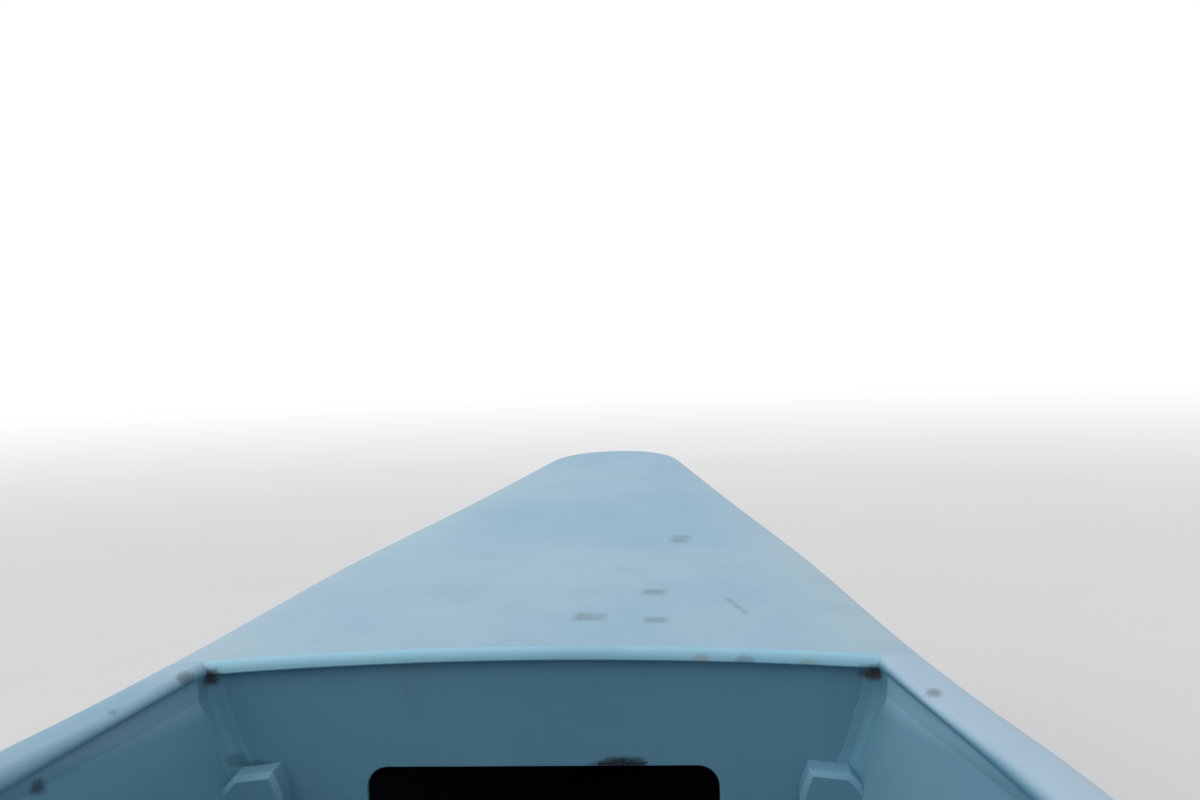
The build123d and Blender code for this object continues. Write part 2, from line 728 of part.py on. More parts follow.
# Keel strip under the bottom, tapered into the forefoot
strip_rows = [row for row in HULL_ROWS if row.y < KEEL_STRIP_FORE]
heel_row, toe_row = strip_rows[0], strip_rows[-1]
with BuildPart() as keel_strip:
    with BuildSketch(Plane.YZ.offset(-KEEL_STRIP_WIDTH / 2)):
        with BuildLine():
            Polyline(
                *[(row.y, row.keel - KEEL_STRIP_DROP) for row in strip_rows],
                (toe_row.y + OVER, toe_row.keel + OVER / 2),
                (heel_row.y, toe_row.keel + OVER / 2),
                close=True,
            )
        make_face()
    extrude(amount=KEEL_STRIP_WIDTH)
    add(hull_body(-BOND, OVER), mode=Mode.SUBTRACT)
    split(bisect_by=transom_plane(), keep=Keep.TOP)
keel_strip.part.label = "keel_strip"
export_step(keel_strip.part, "parts/keel_strip.step")

# Clamp bracket: two jaws over the transom, joined by the tilt tube and the thrust pin
with BuildPart() as clamp:
    for side in (-1, 1):
        plate_x = side * (CLAMP_X + CLAMP_PLATE / 2)
        with BuildSketch(Plane.YZ.offset(plate_x - CLAMP_PLATE / 2)):
            with BuildLine():
                Polyline(*[on_transom(*point) for point in JAW_OUTLINE], close=True)
            make_face()
        extrude(amount=CLAMP_PLATE)
        with BuildSketch(square_to_transom(plate_x, *SCREW)):
            Circle(SCREW_RADIUS)
        extrude(amount=SCREW_LENGTH)
        with BuildSketch(square_to_transom(plate_x, SCREW.forward + HANDLE_BACK, SCREW.up)):
            SlotOverall(HANDLE_LENGTH, HANDLE_WIDTH)
        extrude(amount=SCREW_RADIUS)
    for centre, radius in (((TILT_Y, TILT_Z), TUBE_RADIUS), (on_transom(*THRUST), THRUST_PIN)):
        with BuildSketch(Plane.YZ.offset(-CLAMP_X - CLAMP_PLATE)):
            with Locations(centre):
                Circle(radius)
        extrude(amount=2 * (CLAMP_X + CLAMP_PLATE))
clamp.part.label = "clamp_bracket"
export_step(clamp.part, "parts/clamp_bracket.step")

# Swivel bracket: a barrel on the tilt tube and an upright tube for the king pin
tube_top = TILT_Z + SWIVEL_TOP
tube_bottom = tube_top - SWIVEL_LENGTH
pin_y, pin_z = on_transom(*THRUST)
with BuildPart() as swivel:
    with BuildSketch(Plane.YZ.offset(-SWIVEL_HALF)):
        with Locations((TILT_Y, TILT_Z)):
            Circle(SWIVEL_BARREL)
    extrude(amount=2 * SWIVEL_HALF)
    with BuildSketch(Plane.XY.offset(tube_bottom)):
        with Locations((0, STEER_Y)):
            Circle(SWIVEL_TUBE)
    extrude(amount=SWIVEL_LENGTH)
    with BuildSketch(Plane.YZ.offset(-SWIVEL_TUBE)):
        with BuildLine():
            Polyline(
                (TILT_Y, TILT_Z + SWIVEL_BARREL - BOND),
                (STEER_Y, tube_top - SWIVEL_EDGE),
                (STEER_Y, tube_bottom + SWIVEL_EDGE),
                (pin_y - THRUST_PIN - BOND, pin_z - 2 * THRUST_PIN),
                (pin_y - THRUST_PIN - BOND, pin_z + 3 * THRUST_PIN),
                (TILT_Y - SWIVEL_BARREL, TILT_Z - 3 * SWIVEL_BARREL),
                (TILT_Y - TUBE_RADIUS, TILT_Z - TUBE_RADIUS),
                close=True,
            )
        make_face()
    extrude(amount=2 * SWIVEL_TUBE)
    with BuildSketch(Plane.YZ.offset(-SWIVEL_HALF)):
        with Locations((TILT_Y, TILT_Z)):
            Circle(TUBE_RADIUS + RUNNING)
    extrude(amount=2 * SWIVEL_HALF, mode=Mode.SUBTRACT)
    with BuildSketch(Plane.XY.offset(tube_bottom)):
        with Locations((0, STEER_Y)):
            Circle(KINGPIN + RUNNING)
    extrude(amount=SWIVEL_LENGTH, mode=Mode.SUBTRACT)
swivel.part.label = "swivel_bracket"
export_step(swivel.part, "parts/swivel_bracket.step")

# Steering yokes: the king pin with the arms that carry the leg
yoke_low = tube_bottom - PIVOT_GAP - YOKE_THICK
yoke_high = tube_top + PIVOT_GAP
leg_front = STEER_Y - SWIVEL_TUBE - LEG_GAP
with BuildPart() as yokes:
    with BuildSketch(Plane.XY.offset(yoke_low)):
        with Locations((0, STEER_Y)):
            Circle(KINGPIN)
    extrude(amount=yoke_high + YOKE_THICK - yoke_low)
    for level in (yoke_low, yoke_high):
        with BuildSketch(Plane.XY.offset(level)):
            with Locations((0, STEER_Y)):
                Circle(SWIVEL_TUBE)
            with Locations((0, (STEER_Y + leg_front + BOND) / 2)):
                Rectangle(2 * SWIVEL_TUBE, STEER_Y - leg_front - BOND)
        extrude(amount=YOKE_THICK)
yokes.part.label = "steering_yokes"
export_step(yokes.part, "parts/steering_yokes.step")


def foil(half_width, length):
    """Streamlined plan section from the leg's front: round nose, waist, thin blunt tail."""
    shoulder = leg_front - half_width
    waist = half_width * FOIL_WAIST
    tail = half_width * FOIL_TAIL
    with BuildSketch() as section:
        with BuildLine():
            ThreePointArc((-half_width, shoulder), (0, leg_front), (half_width, shoulder))
            Polyline(
                (half_width, shoulder),
                (waist, leg_front - length / 2),
                (tail, leg_front - length),
                (-tail, leg_front - length),
                (-waist, leg_front - length / 2),
                (-half_width, shoulder),
            )
        make_face()
    return section.sketch


# Leg: a streamlined column from the bottom pan to the gearcase plate
with BuildPart() as leg:
    for leg_row in LEG_ROWS:
        with BuildSketch(Plane.XY.offset(leg_row.z)):
            add(foil(leg_row.half_width, leg_row.length))
    loft(ruled=True)
leg.part.label = "motor_leg"
export_step(leg.part, "parts/motor_leg.step")

# Gearcase: torpedo, anti-ventilation plate, strut and skeg
nose_y = leg_front + NOSE_AHEAD
tail_y = nose_y - TORPEDO[-1].back
strut = foil(STRUT_HALF, STRUT_LENGTH)
with BuildPart() as gearcase:
    with BuildSketch(Plane.YZ):
        with BuildLine():
            Polyline(
                *[(nose_y - ring.back, PROP_Z + ring.radius) for ring in TORPEDO],
                (tail_y, PROP_Z),
                (nose_y, PROP_Z),
                close=True,
            )
        make_face()
    revolve(axis=Axis((0, 0, PROP_Z), (0, 1, 0)))
    with BuildSketch(Plane.XY.offset(PLATE_Z)):
        with Locations((0, leg_front + PLATE_AHEAD - PLATE_LENGTH / 2)):
            SlotOverall(PLATE_LENGTH, PLATE_WIDTH, rotation=90)
    extrude(amount=PLATE_THICK)
    with BuildSketch(Plane.XY.offset(PROP_Z)):
        add(strut)
    extrude(amount=PROP_DROP + PLATE_THICK / 2)
    with BuildSketch(Plane.YZ.offset(-SKEG_THICK / 2)):
        with BuildLine():
            Polyline(*[(leg_front - point.back, PROP_Z - point.drop) for point in SKEG], close=True)
        make_face()
    extrude(amount=SKEG_THICK)
    with BuildSketch(across(tail_y)):
        with Locations((0, PROP_Z)):
            Circle(SHAFT_RADIUS + RUNNING)
    extrude(amount=-SHAFT_LENGTH - PIVOT_GAP, mode=Mode.SUBTRACT)
gearcase.part.label = "gearcase"
export_step(gearcase.part, "parts/gearcase.step")

# Propeller: hub, shaft and pitched blades
hub_y = tail_y - PIVOT_GAP
with BuildPart() as blade:
    for blade_row in BLADE_ROWS:
        pitch = radians(blade_row.pitch)
        chordwise = Plane(origin=(0, 0, blade_row.radius), x_dir=(cos(pitch), sin(pitch), 0), z_dir=(0, 0, 1))
        with BuildSketch(chordwise):
            with BuildLine():
                Polyline(
                    (blade_row.chord / 2, 0),
                    (blade_row.chord * LENS_FLAT, blade_row.thick / 2),
                    (-blade_row.chord * LENS_FLAT, blade_row.thick / 2),
                    (-blade_row.chord / 2, 0),
                    (-blade_row.chord * LENS_FLAT, -blade_row.thick / 2),
                    (blade_row.chord * LENS_FLAT, -blade_row.thick / 2),
                    close=True,
                )
            make_face()
    loft(ruled=True)
with BuildPart() as propeller:
    with BuildSketch(across(hub_y)):
        with Locations((0, PROP_Z)):
            Circle(HUB_RADIUS)
    extrude(amount=HUB_LENGTH, taper=HUB_TAPER)
    with BuildSketch(across(hub_y)):
        with Locations((0, PROP_Z)):
            Circle(SHAFT_RADIUS)
    extrude(amount=-SHAFT_LENGTH)
    for index in range(BLADE_COUNT):
        turn = 360 / BLADE_COUNT * index
        add(blade.part.moved(Location((0, hub_y - HUB_LENGTH / 2, PROP_Z), (0, turn, 0))))
propeller.part.label = "propeller"
export_step(propeller.part, "parts/propeller.step")

# Bottom pan and cowling of the powerhead
for name, cowl_rows in (("motor_pan", PAN_ROWS), ("motor_cowling", COWL_ROWS)):
    with BuildPart() as housing:
        for cowl_row in cowl_rows:
            with BuildSketch(Plane.XY.offset(PAN_BOTTOM + cowl_row.up)):
                with Locations((0, STEER_Y + (cowl_row.fore - cowl_row.aft) / 2)):
                    RectangleRounded(cowl_row.width, cowl_row.fore + cowl_row.aft, cowl_row.corner)
        loft(ruled=True)
    housing.part.label = name
    export_step(housing.part, f"parts/{name}.step")

# Tiller arm and its twist grip
tiller_root = STEER_Y + PAN_FORE + BOND
tiller_z = PAN_BOTTOM + TILLER_UP
with BuildPart() as tiller:
    for along, share in ((0, 1), (ARM_LENGTH, TILLER_SLIM)):
        with BuildSketch(across(tiller_root + along)):
            with Locations((0, tiller_z)):
                RectangleRounded(TILLER_WIDTH * share, TILLER_HEIGHT * share, TILLER_RADIUS)
    loft(ruled=True)
tiller.part.label = "tiller_arm"
export_step(tiller.part, "parts/tiller_arm.step")

with BuildPart() as grip:
    with BuildSketch(across(tiller_root + ARM_LENGTH + BOND)):
        with Locations((0, tiller_z)):
            Circle(GRIP_RADIUS)
    extrude(amount=-GRIP_LENGTH)
    chamfer(grip.edges().group_by(Axis.Y)[-1], GRIP_EDGE)
grip.part.label = "tiller_grip"
export_step(grip.part, "parts/tiller_grip.step")

print("tilt axis", round(TILT_Y, 2), round(TILT_Z, 2))
print("steering axis", round(STEER_Y, 2), "propeller axis", round(PROP_Z, 2), round(tail_y, 2))
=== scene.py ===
from collections import namedtuple
from math import atan, cos, exp, pi, radians, sin, sqrt, tan

import bmesh
import bpy
from mathutils import Matrix, Vector


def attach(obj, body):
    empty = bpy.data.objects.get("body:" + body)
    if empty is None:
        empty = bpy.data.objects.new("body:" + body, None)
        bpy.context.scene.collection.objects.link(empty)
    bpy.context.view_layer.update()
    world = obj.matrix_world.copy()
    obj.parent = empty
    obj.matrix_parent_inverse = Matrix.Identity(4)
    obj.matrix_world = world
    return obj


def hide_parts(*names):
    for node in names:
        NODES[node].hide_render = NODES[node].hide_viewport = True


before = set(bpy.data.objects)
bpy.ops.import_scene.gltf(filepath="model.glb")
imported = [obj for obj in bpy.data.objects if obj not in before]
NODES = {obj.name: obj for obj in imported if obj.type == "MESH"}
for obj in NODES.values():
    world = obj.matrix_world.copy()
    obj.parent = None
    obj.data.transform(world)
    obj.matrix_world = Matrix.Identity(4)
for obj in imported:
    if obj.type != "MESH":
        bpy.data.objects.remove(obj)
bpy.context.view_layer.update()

bl_info = {
    "name": "Lake Skiff",
    "version": (1, 0, 0),
    "blender": (4, 5, 0),
    "location": "View3D > Sidebar > Skiff",
    "description": "Open fibreglass lake skiff with a long foredeck and a tiller outboard",
    "category": "Object",
}


def table(fields, *rows):
    """Rows of values that go by the fields' names."""
    row = namedtuple("Row", fields)
    return [row(*values) for values in rows]


MM = 0.001
HULL_PANELS = ["hull_bottom_aft", "hull_bottom_fore", "topside_port", "topside_starboard"]
HULL_PANELS += ["transom_board", "stem_plate"]

# Hull lines in millimetres, from the run aft of the transom to the stemhead
LINES = table(
    "y half_beam rim sheer half_chine chine keel",
    (-3500, 780, 72, 448, 598, -50, -124),
    (-2300, 866, 72, 430, 677, -58, -142),
    (-1000, 908, 72, 432, 704, -55, -150),
    (100, 891, 72, 448, 674, -42, -152),
    (900, 805, 72, 475, 580, 12, -148),
    (1500, 625, 72, 524, 416, 75, -130),
    (2100, 470, 60, 579, 270, 168, -75),
    (2700, 314, 44, 619, 151, 300, 70),
    (3300, 151, 24, 669, 60, 540, 490),
)
FIRST_ROW_Y = -3140.0
BULKHEAD_Y = 1500.0
BULKHEAD_FACE = 1503.0
HATCH_TOP = 355.0
STEM_Y = 3300.0
NOSE_RADIUS = 110.0
NOSE_TURN = 65.0
NOSE_AFT = STEM_Y - NOSE_RADIUS * sin(radians(NOSE_TURN))
NOSE_CHINE_CUT = 0.25
# Eased edge of the stem's flat: how far back, and what it takes off the deck's and the chine's half width
NOSE_EDGE = [(5, 0, 0), (1.4, 5, 3), (0, 12, 8)]
LAMINATE = 9.0
CHINE_FLAT = 0.06
SHEER_BAND = 54.0
HULL_DROP = 36.0
RIM_TUCK = 12.0
CAP_WALL = 6.0
CAP_WIDTH = 90.0
CAP_SKIRT = 52.0
CAP_LIP = 35.0
CAP_LIP_FORE = 13.0
CAP_SHOULDER = 34.0
CAP_ROLL = 28.0
CAP_ROLL_FORE = 17.0
CAP_TUCK = 9.5
CAP_DROOP = 7.0
CAP_END_ROUND = 7.0
INNER_SKIRT = 33.0
CROWN_BLEND = 260.0
ROLL_BLEND = 500.0
LIP_BLEND = 700.0
BLEND_STEP = 26.0
DECK_SHOULDER = 34.0
DECK_CAMBER = 0.04
LIP_DEPTH = 22.0
LIP_THICK = 14.0
LIP_ROLL = 18.0
TAPE_FOOT = 250.0
TAPE_TOP = 506.0
TAPE_WIDTH = 28.0
TAPE_THICK = 1.5
FRAY_START = 92.0
FRAY_GAP = 2.9
FRAY_COUNT = 26
TUFT_X = 126.0
TUFT_SPREAD = 17.0
TRANSOM_Y = -3300.0
TRANSOM_TOP_Y = -3390.0
TRANSOM_THICK = 40.0
TRANSOM_CORNER = 8.0
RAKE = radians(12)
NOTCH_TOP = 380.0
NOTCH_WIDTH = 560.0
NOTCH_RADIUS = 40.0

# Motor, in millimetres
STEER_Y = -3507.53
LEG_FRONT = -3546.53
PROP_Z = -342.0
PROP_NOSE = -3456.53
PROP_TAIL = -3756.53
PLATE_Z = -146.0
PLATE_THICK = 9.0
PLATE_AHEAD = 40.0
PLATE_LENGTH = 400.0
PLATE_WIDTH = 190.0
PAN_BOTTOM = 522.0
SEAM_UP = 62.0
HANDLE_UP = 96.0
SWAGE_UP = 106.0
SWAGE_DEPTH = 2.2
SWAGE_REACH = 9.0
HUB_FORE = PROP_TAIL - 5
HUB_RADIUS = 34.0
HUB_LENGTH = 84.0
SHAFT_RADIUS = 10.9
BLADE_COUNT = 3
GRIP_Y = -3031.7
GRIP_Z = 553.0
GRIP_LENGTH = 120.0
COWL_ROWS = table(
    "up width fore aft corner",
    (62.4, 300, 165, 345, 74),
    (150, 306, 162, 349, 78),
    (250, 290, 146, 338, 78),
    (312, 254, 114, 306, 74),
    (340, 206, 76, 266, 68),
    (351, 140, 28, 208, 58),
    (354, 60, -30, 140, 28),
)
LEG_ROWS = table(
    "z half_width length", (-137, 31, 150), (-60, 33, 150), (150, 36, 154), (380, 40, 172), (521.6, 54, 226)
)
STRUT_ROWS = table("z half_width length", (-330, 30, 190), (-250, 21, 164), (-190, 24, 160), (-141, 31, 166))
SKEG_ROWS = table(
    "z half_width length back",
    (-482, 2.2, 40, 118),
    (-470, 2.8, 74, 112),
    (-440, 3.3, 92, 96),
    (-390, 3.8, 128, 52),
    (-345, 5.0, 176, 15),
)
TORPEDO = table("back radius", (0, 1), (3, 9), (12, 19), (30, 29), (58, 37), (96, 41), (180, 41), (300, 34.5))
TORPEDO_RINGS = [0, 1, 3, 6, 12, 20, 30, 44, 58, 76, 96, 140, 180, 220, 260, 292]
BLADES = table(
    "radius chord thick pitch rake",
    (24, 52, 12, 54, 0),
    (44, 68, 10, 46, -2),
    (66, 81, 8, 39, -5),
    (90, 86, 6.4, 32, -9),
    (108, 78, 4.6, 28.5, -12),
    (120, 58, 3.4, 26, -14),
    (126.5, 34, 2.4, 25, -15.5),
    (128, 10, 1.4, 25, -16),
)
BLADE_RINGS = [24, 34, 44, 55, 66, 78, 90, 100, 108, 115, 120, 124, 126.5, 128]

# Stains, and painted shadow in the seam round the port post: place and reach in millimetres, colour and strength
RUST = (0.045, 0.026, 0.030, 1.0)
SMEAR = (0.07, 0.075, 0.10, 1.0)
GRIME_AND_SHADE = (0.022, 0.038, 0.048, 1.0)
CHIP = (0.33, 0.40, 0.42, 1.0)
DAMP = (0.010, 0.014, 0.024, 1.0)
DECK_WEAR = [
    ((-537, 1488, 506), (27, 20, 17), RUST, 0.95),
    ((-580, 1488, 503), (26, 20, 13), SMEAR, 0.75),
    ((529, 1488, 503), (26, 20, 16), RUST, 0.95),
    ((494, 1486, 502), (34, 18, 12), SMEAR, 0.8),
    ((262, 1486, 526), (16, 10, 12), CHIP, 0.6),
    ((432, 1486, 515), (22, 10, 12), CHIP, 0.55),
    ((330, 1486, 522), (20, 10, 12), SMEAR, 0.35),
]
RIM_WEAR = [
    ((572, 1470, 500), (24, 26, 16), SMEAR, 0.25),
    ((-558, 1438, 516), (18, 24, 16), SMEAR, 0.6),
    ((607, 1332, 510), (14, 20, 14), SMEAR, 0.55),
    ((-618, 1284, 506), (10, 14, 12), SMEAR, 0.4),
]
PANEL_WEAR = [((-662, 1115, 440), (14, 22, 16), GRIME_AND_SHADE, 0.75)]
BULKHEAD_STAINS_AND_SHADOW = [
    ((-541, 1503, 499), (24, 20, 13), RUST, 0.9),
    ((530, 1503, 497), (22, 20, 13), RUST, 0.9),
    # This row and the next three: grime with painted shadow in the seam round the port corner post's top.
    ((-500, 1503, 366), (24, 30, 14), GRIME_AND_SHADE, 0.4),
    ((-470, 1503, 356), (36, 30, 10), GRIME_AND_SHADE, 0.45),
    ((-544, 1480, 309), (20, 60, 22), GRIME_AND_SHADE, 0.7),
    ((-525, 1490, 335), (16, 50, 20), GRIME_AND_SHADE, 0.5),
    ((130, 1503, 356), (36, 20, 12), DAMP, 0.9),
    ((100, 1503, 352), (30, 20, 10), GRIME_AND_SHADE, 0.5),
    ((155, 1503, 355), (20, 20, 12), GRIME_AND_SHADE, 0.6),
]
# Patches of the deck rubbed dull: place and reach
DECK_PATCHES = [
    ((205, 2226, 600), (18, 36, 200)),
    ((172, 1813, 600), (20, 18, 200)),
    ((71, 1658, 600), (26, 22, 200)),
    ((184, 1642, 600), (19, 16, 200)),
]
BOARD_PITCH = 0.182

# Lamps as wide soft suns: name, where from, width in degrees, strength
LAMPS = [("overhead", (-0.85, -0.25, 1.45), 100, 1.85), ("fill", (0.9, -0.9, 0.9), 90, 0.34)]
SKY_LEVEL = 0.3
CAMERA_PLACE = (0.335, -1.089, 1.127)
# In degrees: to port, up from straight down, rolled
CAMERA_TURN = (4.90, 85.89, -1.73)
CAMERA_LENS = 49.5


# ---- shape tools


def fair(rows, place):
    """Row at a place on smooth curves through a table whose first column is the place."""
    upper = next((i for i in range(1, len(rows)) if place <= rows[i][0]), len(rows) - 1)
    near, far = rows[upper - 1], rows[upper]
    span = far[0] - near[0]
    t = (place - near[0]) / span
    values = []
    for column in range(1, len(near)):
        slopes = []
        for i in (upper - 1, upper):
            before, after = rows[max(i - 1, 0)], rows[min(i + 1, len(rows) - 1)]
            slopes.append((after[column] - before[column]) / (after[0] - before[0]) * span)
        ends = (2 * t**3 - 3 * t**2 + 1) * near[column] + (3 * t**2 - 2 * t**3) * far[column]
        values.append(ends + (t**3 - 2 * t**2 + t) * slopes[0] + (t**3 - t**2) * slopes[1])
    return type(near)(place, *values)


def faired(y):
    """Station at y on smooth curves through the hull lines."""
    return fair(LINES, y)


def nose_station(turn):
    """Station on the round of the nose."""
    row = faired(min(NOSE_AFT + NOSE_RADIUS * sin(radians(turn)), STEM_Y))
    cut = NOSE_RADIUS * (1 - cos(radians(turn)))
    return row._replace(half_beam=row.half_beam - cut, half_chine=row.half_chine - cut * NOSE_CHINE_CUT)


def spaced(start, end, step):
    """Even values from start to end, both among them."""
    count = max(1, round(abs(end - start) / step))
    return [start + (end - start) * i / count for i in range(count + 1)]


def fore_rows(start, step):
    """Stations from a place on the hull to the flat of the stem."""
    rows = [faired(y) for y in spaced(start, NOSE_AFT, step)]
    rows += [nose_station(turn) for turn in spaced(0, NOSE_TURN, 9)[1:-1]]
    last = nose_station(NOSE_TURN)
    for back, beam, chine in NOSE_EDGE:
        rows.append(last._replace(y=STEM_Y - back, half_beam=last.half_beam - beam, half_chine=last.half_chine - chine))
    return rows


def eased(points, radii, steps=3, closed=False):
    """Chain of points whose corners are turned on arcs, one radius for each corner."""
    points = [Vector(point) for point in points]
    if closed:
        corners = [(points[i - 1], points[i], points[(i + 1) % len(points)]) for i in range(len(points))]
        chain = []
    else:
        corners = list(zip(points, points[1:], points[2:]))
        chain = [points[0]]
    for (before, corner, after), radius in zip(corners, radii):
        back, on = before - corner, after - corner
        limit = 0.48 * min(back.length, on.length)
        back.normalize()
        on.normalize()
        half = back.angle(on) / 2
        if radius == 0 or half > 1.55:
            chain += [corner] * (steps + 1)
            continue
        reach = min(radius / tan(half), limit)
        centre = corner + (back + on).normalized() * (reach / cos(half))
        start, end = corner + back * reach - centre, corner + on * reach - centre
        turn = pi - 2 * half
        for i in range(steps + 1):
            t = i / steps
            chain.append(centre + (start * sin((1 - t) * turn) + end * sin(t * turn)) / sin(turn))
    if not closed:
        chain.append(points[-1])
    return chain


def both_sides(half):
    """Chain from port to starboard out of its starboard half, which begins on the centreline."""
    return [Vector((-point[0], point[1])) for point in reversed(half[1:])] + [Vector(point) for point in half]


def transom_y(z, forward=0.0):
    """Where the transom's outer plane, moved forward, stands at a height."""
    return TRANSOM_Y + (forward - z * sin(RAKE)) / cos(RAKE)


def on_transom(forward, up):
    """Place (y, z) in the transom's own axes, from the outer top edge of the motor notch."""
    z = NOTCH_TOP + forward * sin(RAKE) + up * cos(RAKE)
    return transom_y(NOTCH_TOP) + forward * cos(RAKE) - up * sin(RAKE), z


def raked(chain_at, forward=0.0):
    """Points in which the chains of the hull meet the transom's plane."""
    points = []
    for index in range(len(chain_at(TRANSOM_Y))):
        y = TRANSOM_Y
        for _ in range(4):
            x, z = chain_at(y)[index]
            y = transom_y(z, forward)
        points.append((x, y, z))
    return points


def at(chain, y):
    """The chain's points at one place along the hull."""
    return [(x, y, z) for x, z in chain]


def width_at(chain, z):
    """Half width of a section of the hull at a height."""
    half = chain[len(chain) // 2 :]
    for (x0, z0), (x1, z1) in zip(half, half[1:]):
        if z0 <= z < z1:
            return x0 + (x1 - x0) * (z - z0) / (z1 - z0)
    return 0.0


def smoothstep(value, low, high):
    """0 below low, 1 above high and a soft rise between."""
    t = min(max((value - low) / (high - low), 0.0), 1.0)
    return t * t * (3 - 2 * t)


def circle(centre, along, side, radius, count):
    """Ring square to a direction, its first point to one side of the centre."""
    other = along.cross(side)
    turns = [2 * pi * k / count for k in range(count)]
    return [centre + (side * cos(a) + other * sin(a)) * radius for a in turns]


def sweep(path, radius, count=10):
    """Closed rings round a path, the first and last square to its ends."""
    points = [Vector(point) for point in path]
    chains = []
    for i, point in enumerate(points):
        along = (points[min(i + 1, len(points) - 1)] - points[max(i - 1, 0)]).normalized()
        side = along.orthogonal().normalized() if i == 0 else (side - along * side.dot(along)).normalized()
        chains.append(circle(point, along, side, radius, count))
    return chains


def stud(spot, facing, radius, height):
    """Closed rings of a round screw or bolt head standing on a surface."""
    facing = Vector(facing).normalized()
    side = facing.orthogonal().normalized()
    profile = ((1.0, -0.3), (1.0, 0.25), (0.8, 0.75), (0.4, 1.0))
    return [circle(Vector(spot) + facing * (height * up), facing, side, radius * share, 12) for share, up in profile]


class Form:
    """Points, in millimetres, and faces of one piece before they become a mesh."""

    def __init__(self):
        self.points = []
        self.faces = []
        self.tones = []

    def tone(self, number):
        """Gives the faces added since the last call the finish of that number."""
        self.tones += [number] * (len(self.faces) - len(self.tones))

    def row(self, points):
        """Adds points and gives their numbers."""
        first = len(self.points)
        self.points += [tuple(point) for point in points]
        return list(range(first, len(self.points)))

    def strip(self, a, b, closed=False):
        """Faces between two rows of the same length."""
        count = len(a)
        for i in range(count if closed else count - 1):
            j = (i + 1) % count
            self.faces.append((a[i], a[j], b[j], b[i]))

    def skin(self, rows, closed=False):
        """Faces between each row and the next."""
        for a, b in zip(rows, rows[1:]):
            self.strip(a, b, closed)

    def tube(self, chains):
        """Closed body through closed chains, with a face on each end."""
        rows = [self.row(chain) for chain in chains]
        self.skin(rows, closed=True)
        self.faces += [tuple(rows[0]), tuple(rows[-1])]

    def close(self, outer, inner):
        """Faces between two skins along both their edges and over their fore ends."""
        for end in (0, -1):
            self.strip([row[end] for row in outer], [row[end] for row in inner])
        self.faces.append(tuple(outer[-1]))
        self.faces.append((outer[-1][0], outer[-1][-1], inner[-1][-1], inner[-1][0]))

    def mesh(self, name):
        """Mesh in metres of the points and faces."""
        mesh = bpy.data.meshes.new(name)
        mesh.from_pydata([Vector(point) * MM for point in self.points], [], self.faces)
        return mesh

    def build(self, name, body, finishes, slot, replaces=(), sharp=32):
        """The mesh as a piece that rides on a body and shows its finishes."""
        mesh = self.mesh(name)
        self.tone(0)
        mesh.polygons.foreach_set("material_index", self.tones)
        work = bmesh.new()
        work.from_mesh(mesh)
        bmesh.ops.remove_doubles(work, verts=work.verts, dist=1e-6)
        bmesh.ops.recalc_face_normals(work, faces=work.faces)
        work.to_mesh(mesh)
        work.free()
        mesh.shade_smooth()
        mesh.set_sharp_from_angle(angle=radians(sharp))
        for each in finishes:
            mesh.materials.append(finish(each))
        piece = bpy.data.objects.new(name, mesh)
        bpy.context.scene.collection.objects.link(piece)
        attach(piece, body)
        if replaces:
            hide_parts(*replaces)


def tubes(bodies, *piece, **options):
    """A piece of closed bodies, each through its closed chains."""
    form = Form()
    for chains in bodies:
        form.tube(chains)
    form.build(*piece, **options)


def dress(finish_name, bevel, segments, *names):
    """Eases the edges of carried-over pieces, by millimetres, and gives them a finish."""
    for name in names:
        node = NODES[name]
        mesh = node.data
        if "custom_normal" in mesh.attributes:
            mesh.attributes.remove(mesh.attributes["custom_normal"])
        mesh.shade_smooth()
        mesh.materials.clear()
        mesh.materials.append(finish(finish_name))
        node.modifiers.new("joined", "WELD").merge_threshold = 0.00002
        ease = node.modifiers.new("eased", "BEVEL")
        ease.width = bevel * MM
        ease.segments = segments
        ease.limit_method = "ANGLE"
        ease.angle_limit = radians(32)
        ease.harden_normals = False
        node.modifiers.new("even", "WEIGHTED_NORMAL").keep_sharp = True


# ---- shader tools


class Socket:
    """One value in a finish. Its operators add the maths nodes that they stand for."""

    def __init__(self, shader, output):
        self.shader = shader
        self.output = output

    def _maths(self, operation, *values, clamp=False):
        settings = {"operation": operation, "use_clamp": clamp}
        return self.shader.node("ShaderNodeMath", settings, dict(enumerate(values)))

    def __add__(self, other):
        return self._maths("ADD", self, other)

    __radd__ = __add__

    def __sub__(self, other):
        return self._maths("SUBTRACT", self, other)

    def __rsub__(self, other):
        return self._maths("SUBTRACT", other, self)

    def __mul__(self, other):
        return self._maths("MULTIPLY", self, other)

    __rmul__ = __mul__

    def __truediv__(self, other):
        return self._maths("DIVIDE", self, other)

    def __rtruediv__(self, other):
        return self._maths("DIVIDE", other, self)

    def __abs__(self):
        return self._maths("ABSOLUTE", self)

    def above(self, low, high):
        """0 below low, 1 above high and a soft rise between; it falls where high is below low."""
        settings = {"interpolation_type": "SMOOTHSTEP"}
        return self.shader.node("ShaderNodeMapRange", settings, {0: self, 1: low, 2: high, 3: 0.0, 4: 1.0})

    def most(self, other):
        return self._maths("MAXIMUM", self, other)

    def clamped(self):
        return self._maths("ADD", self, 0.0, clamp=True)


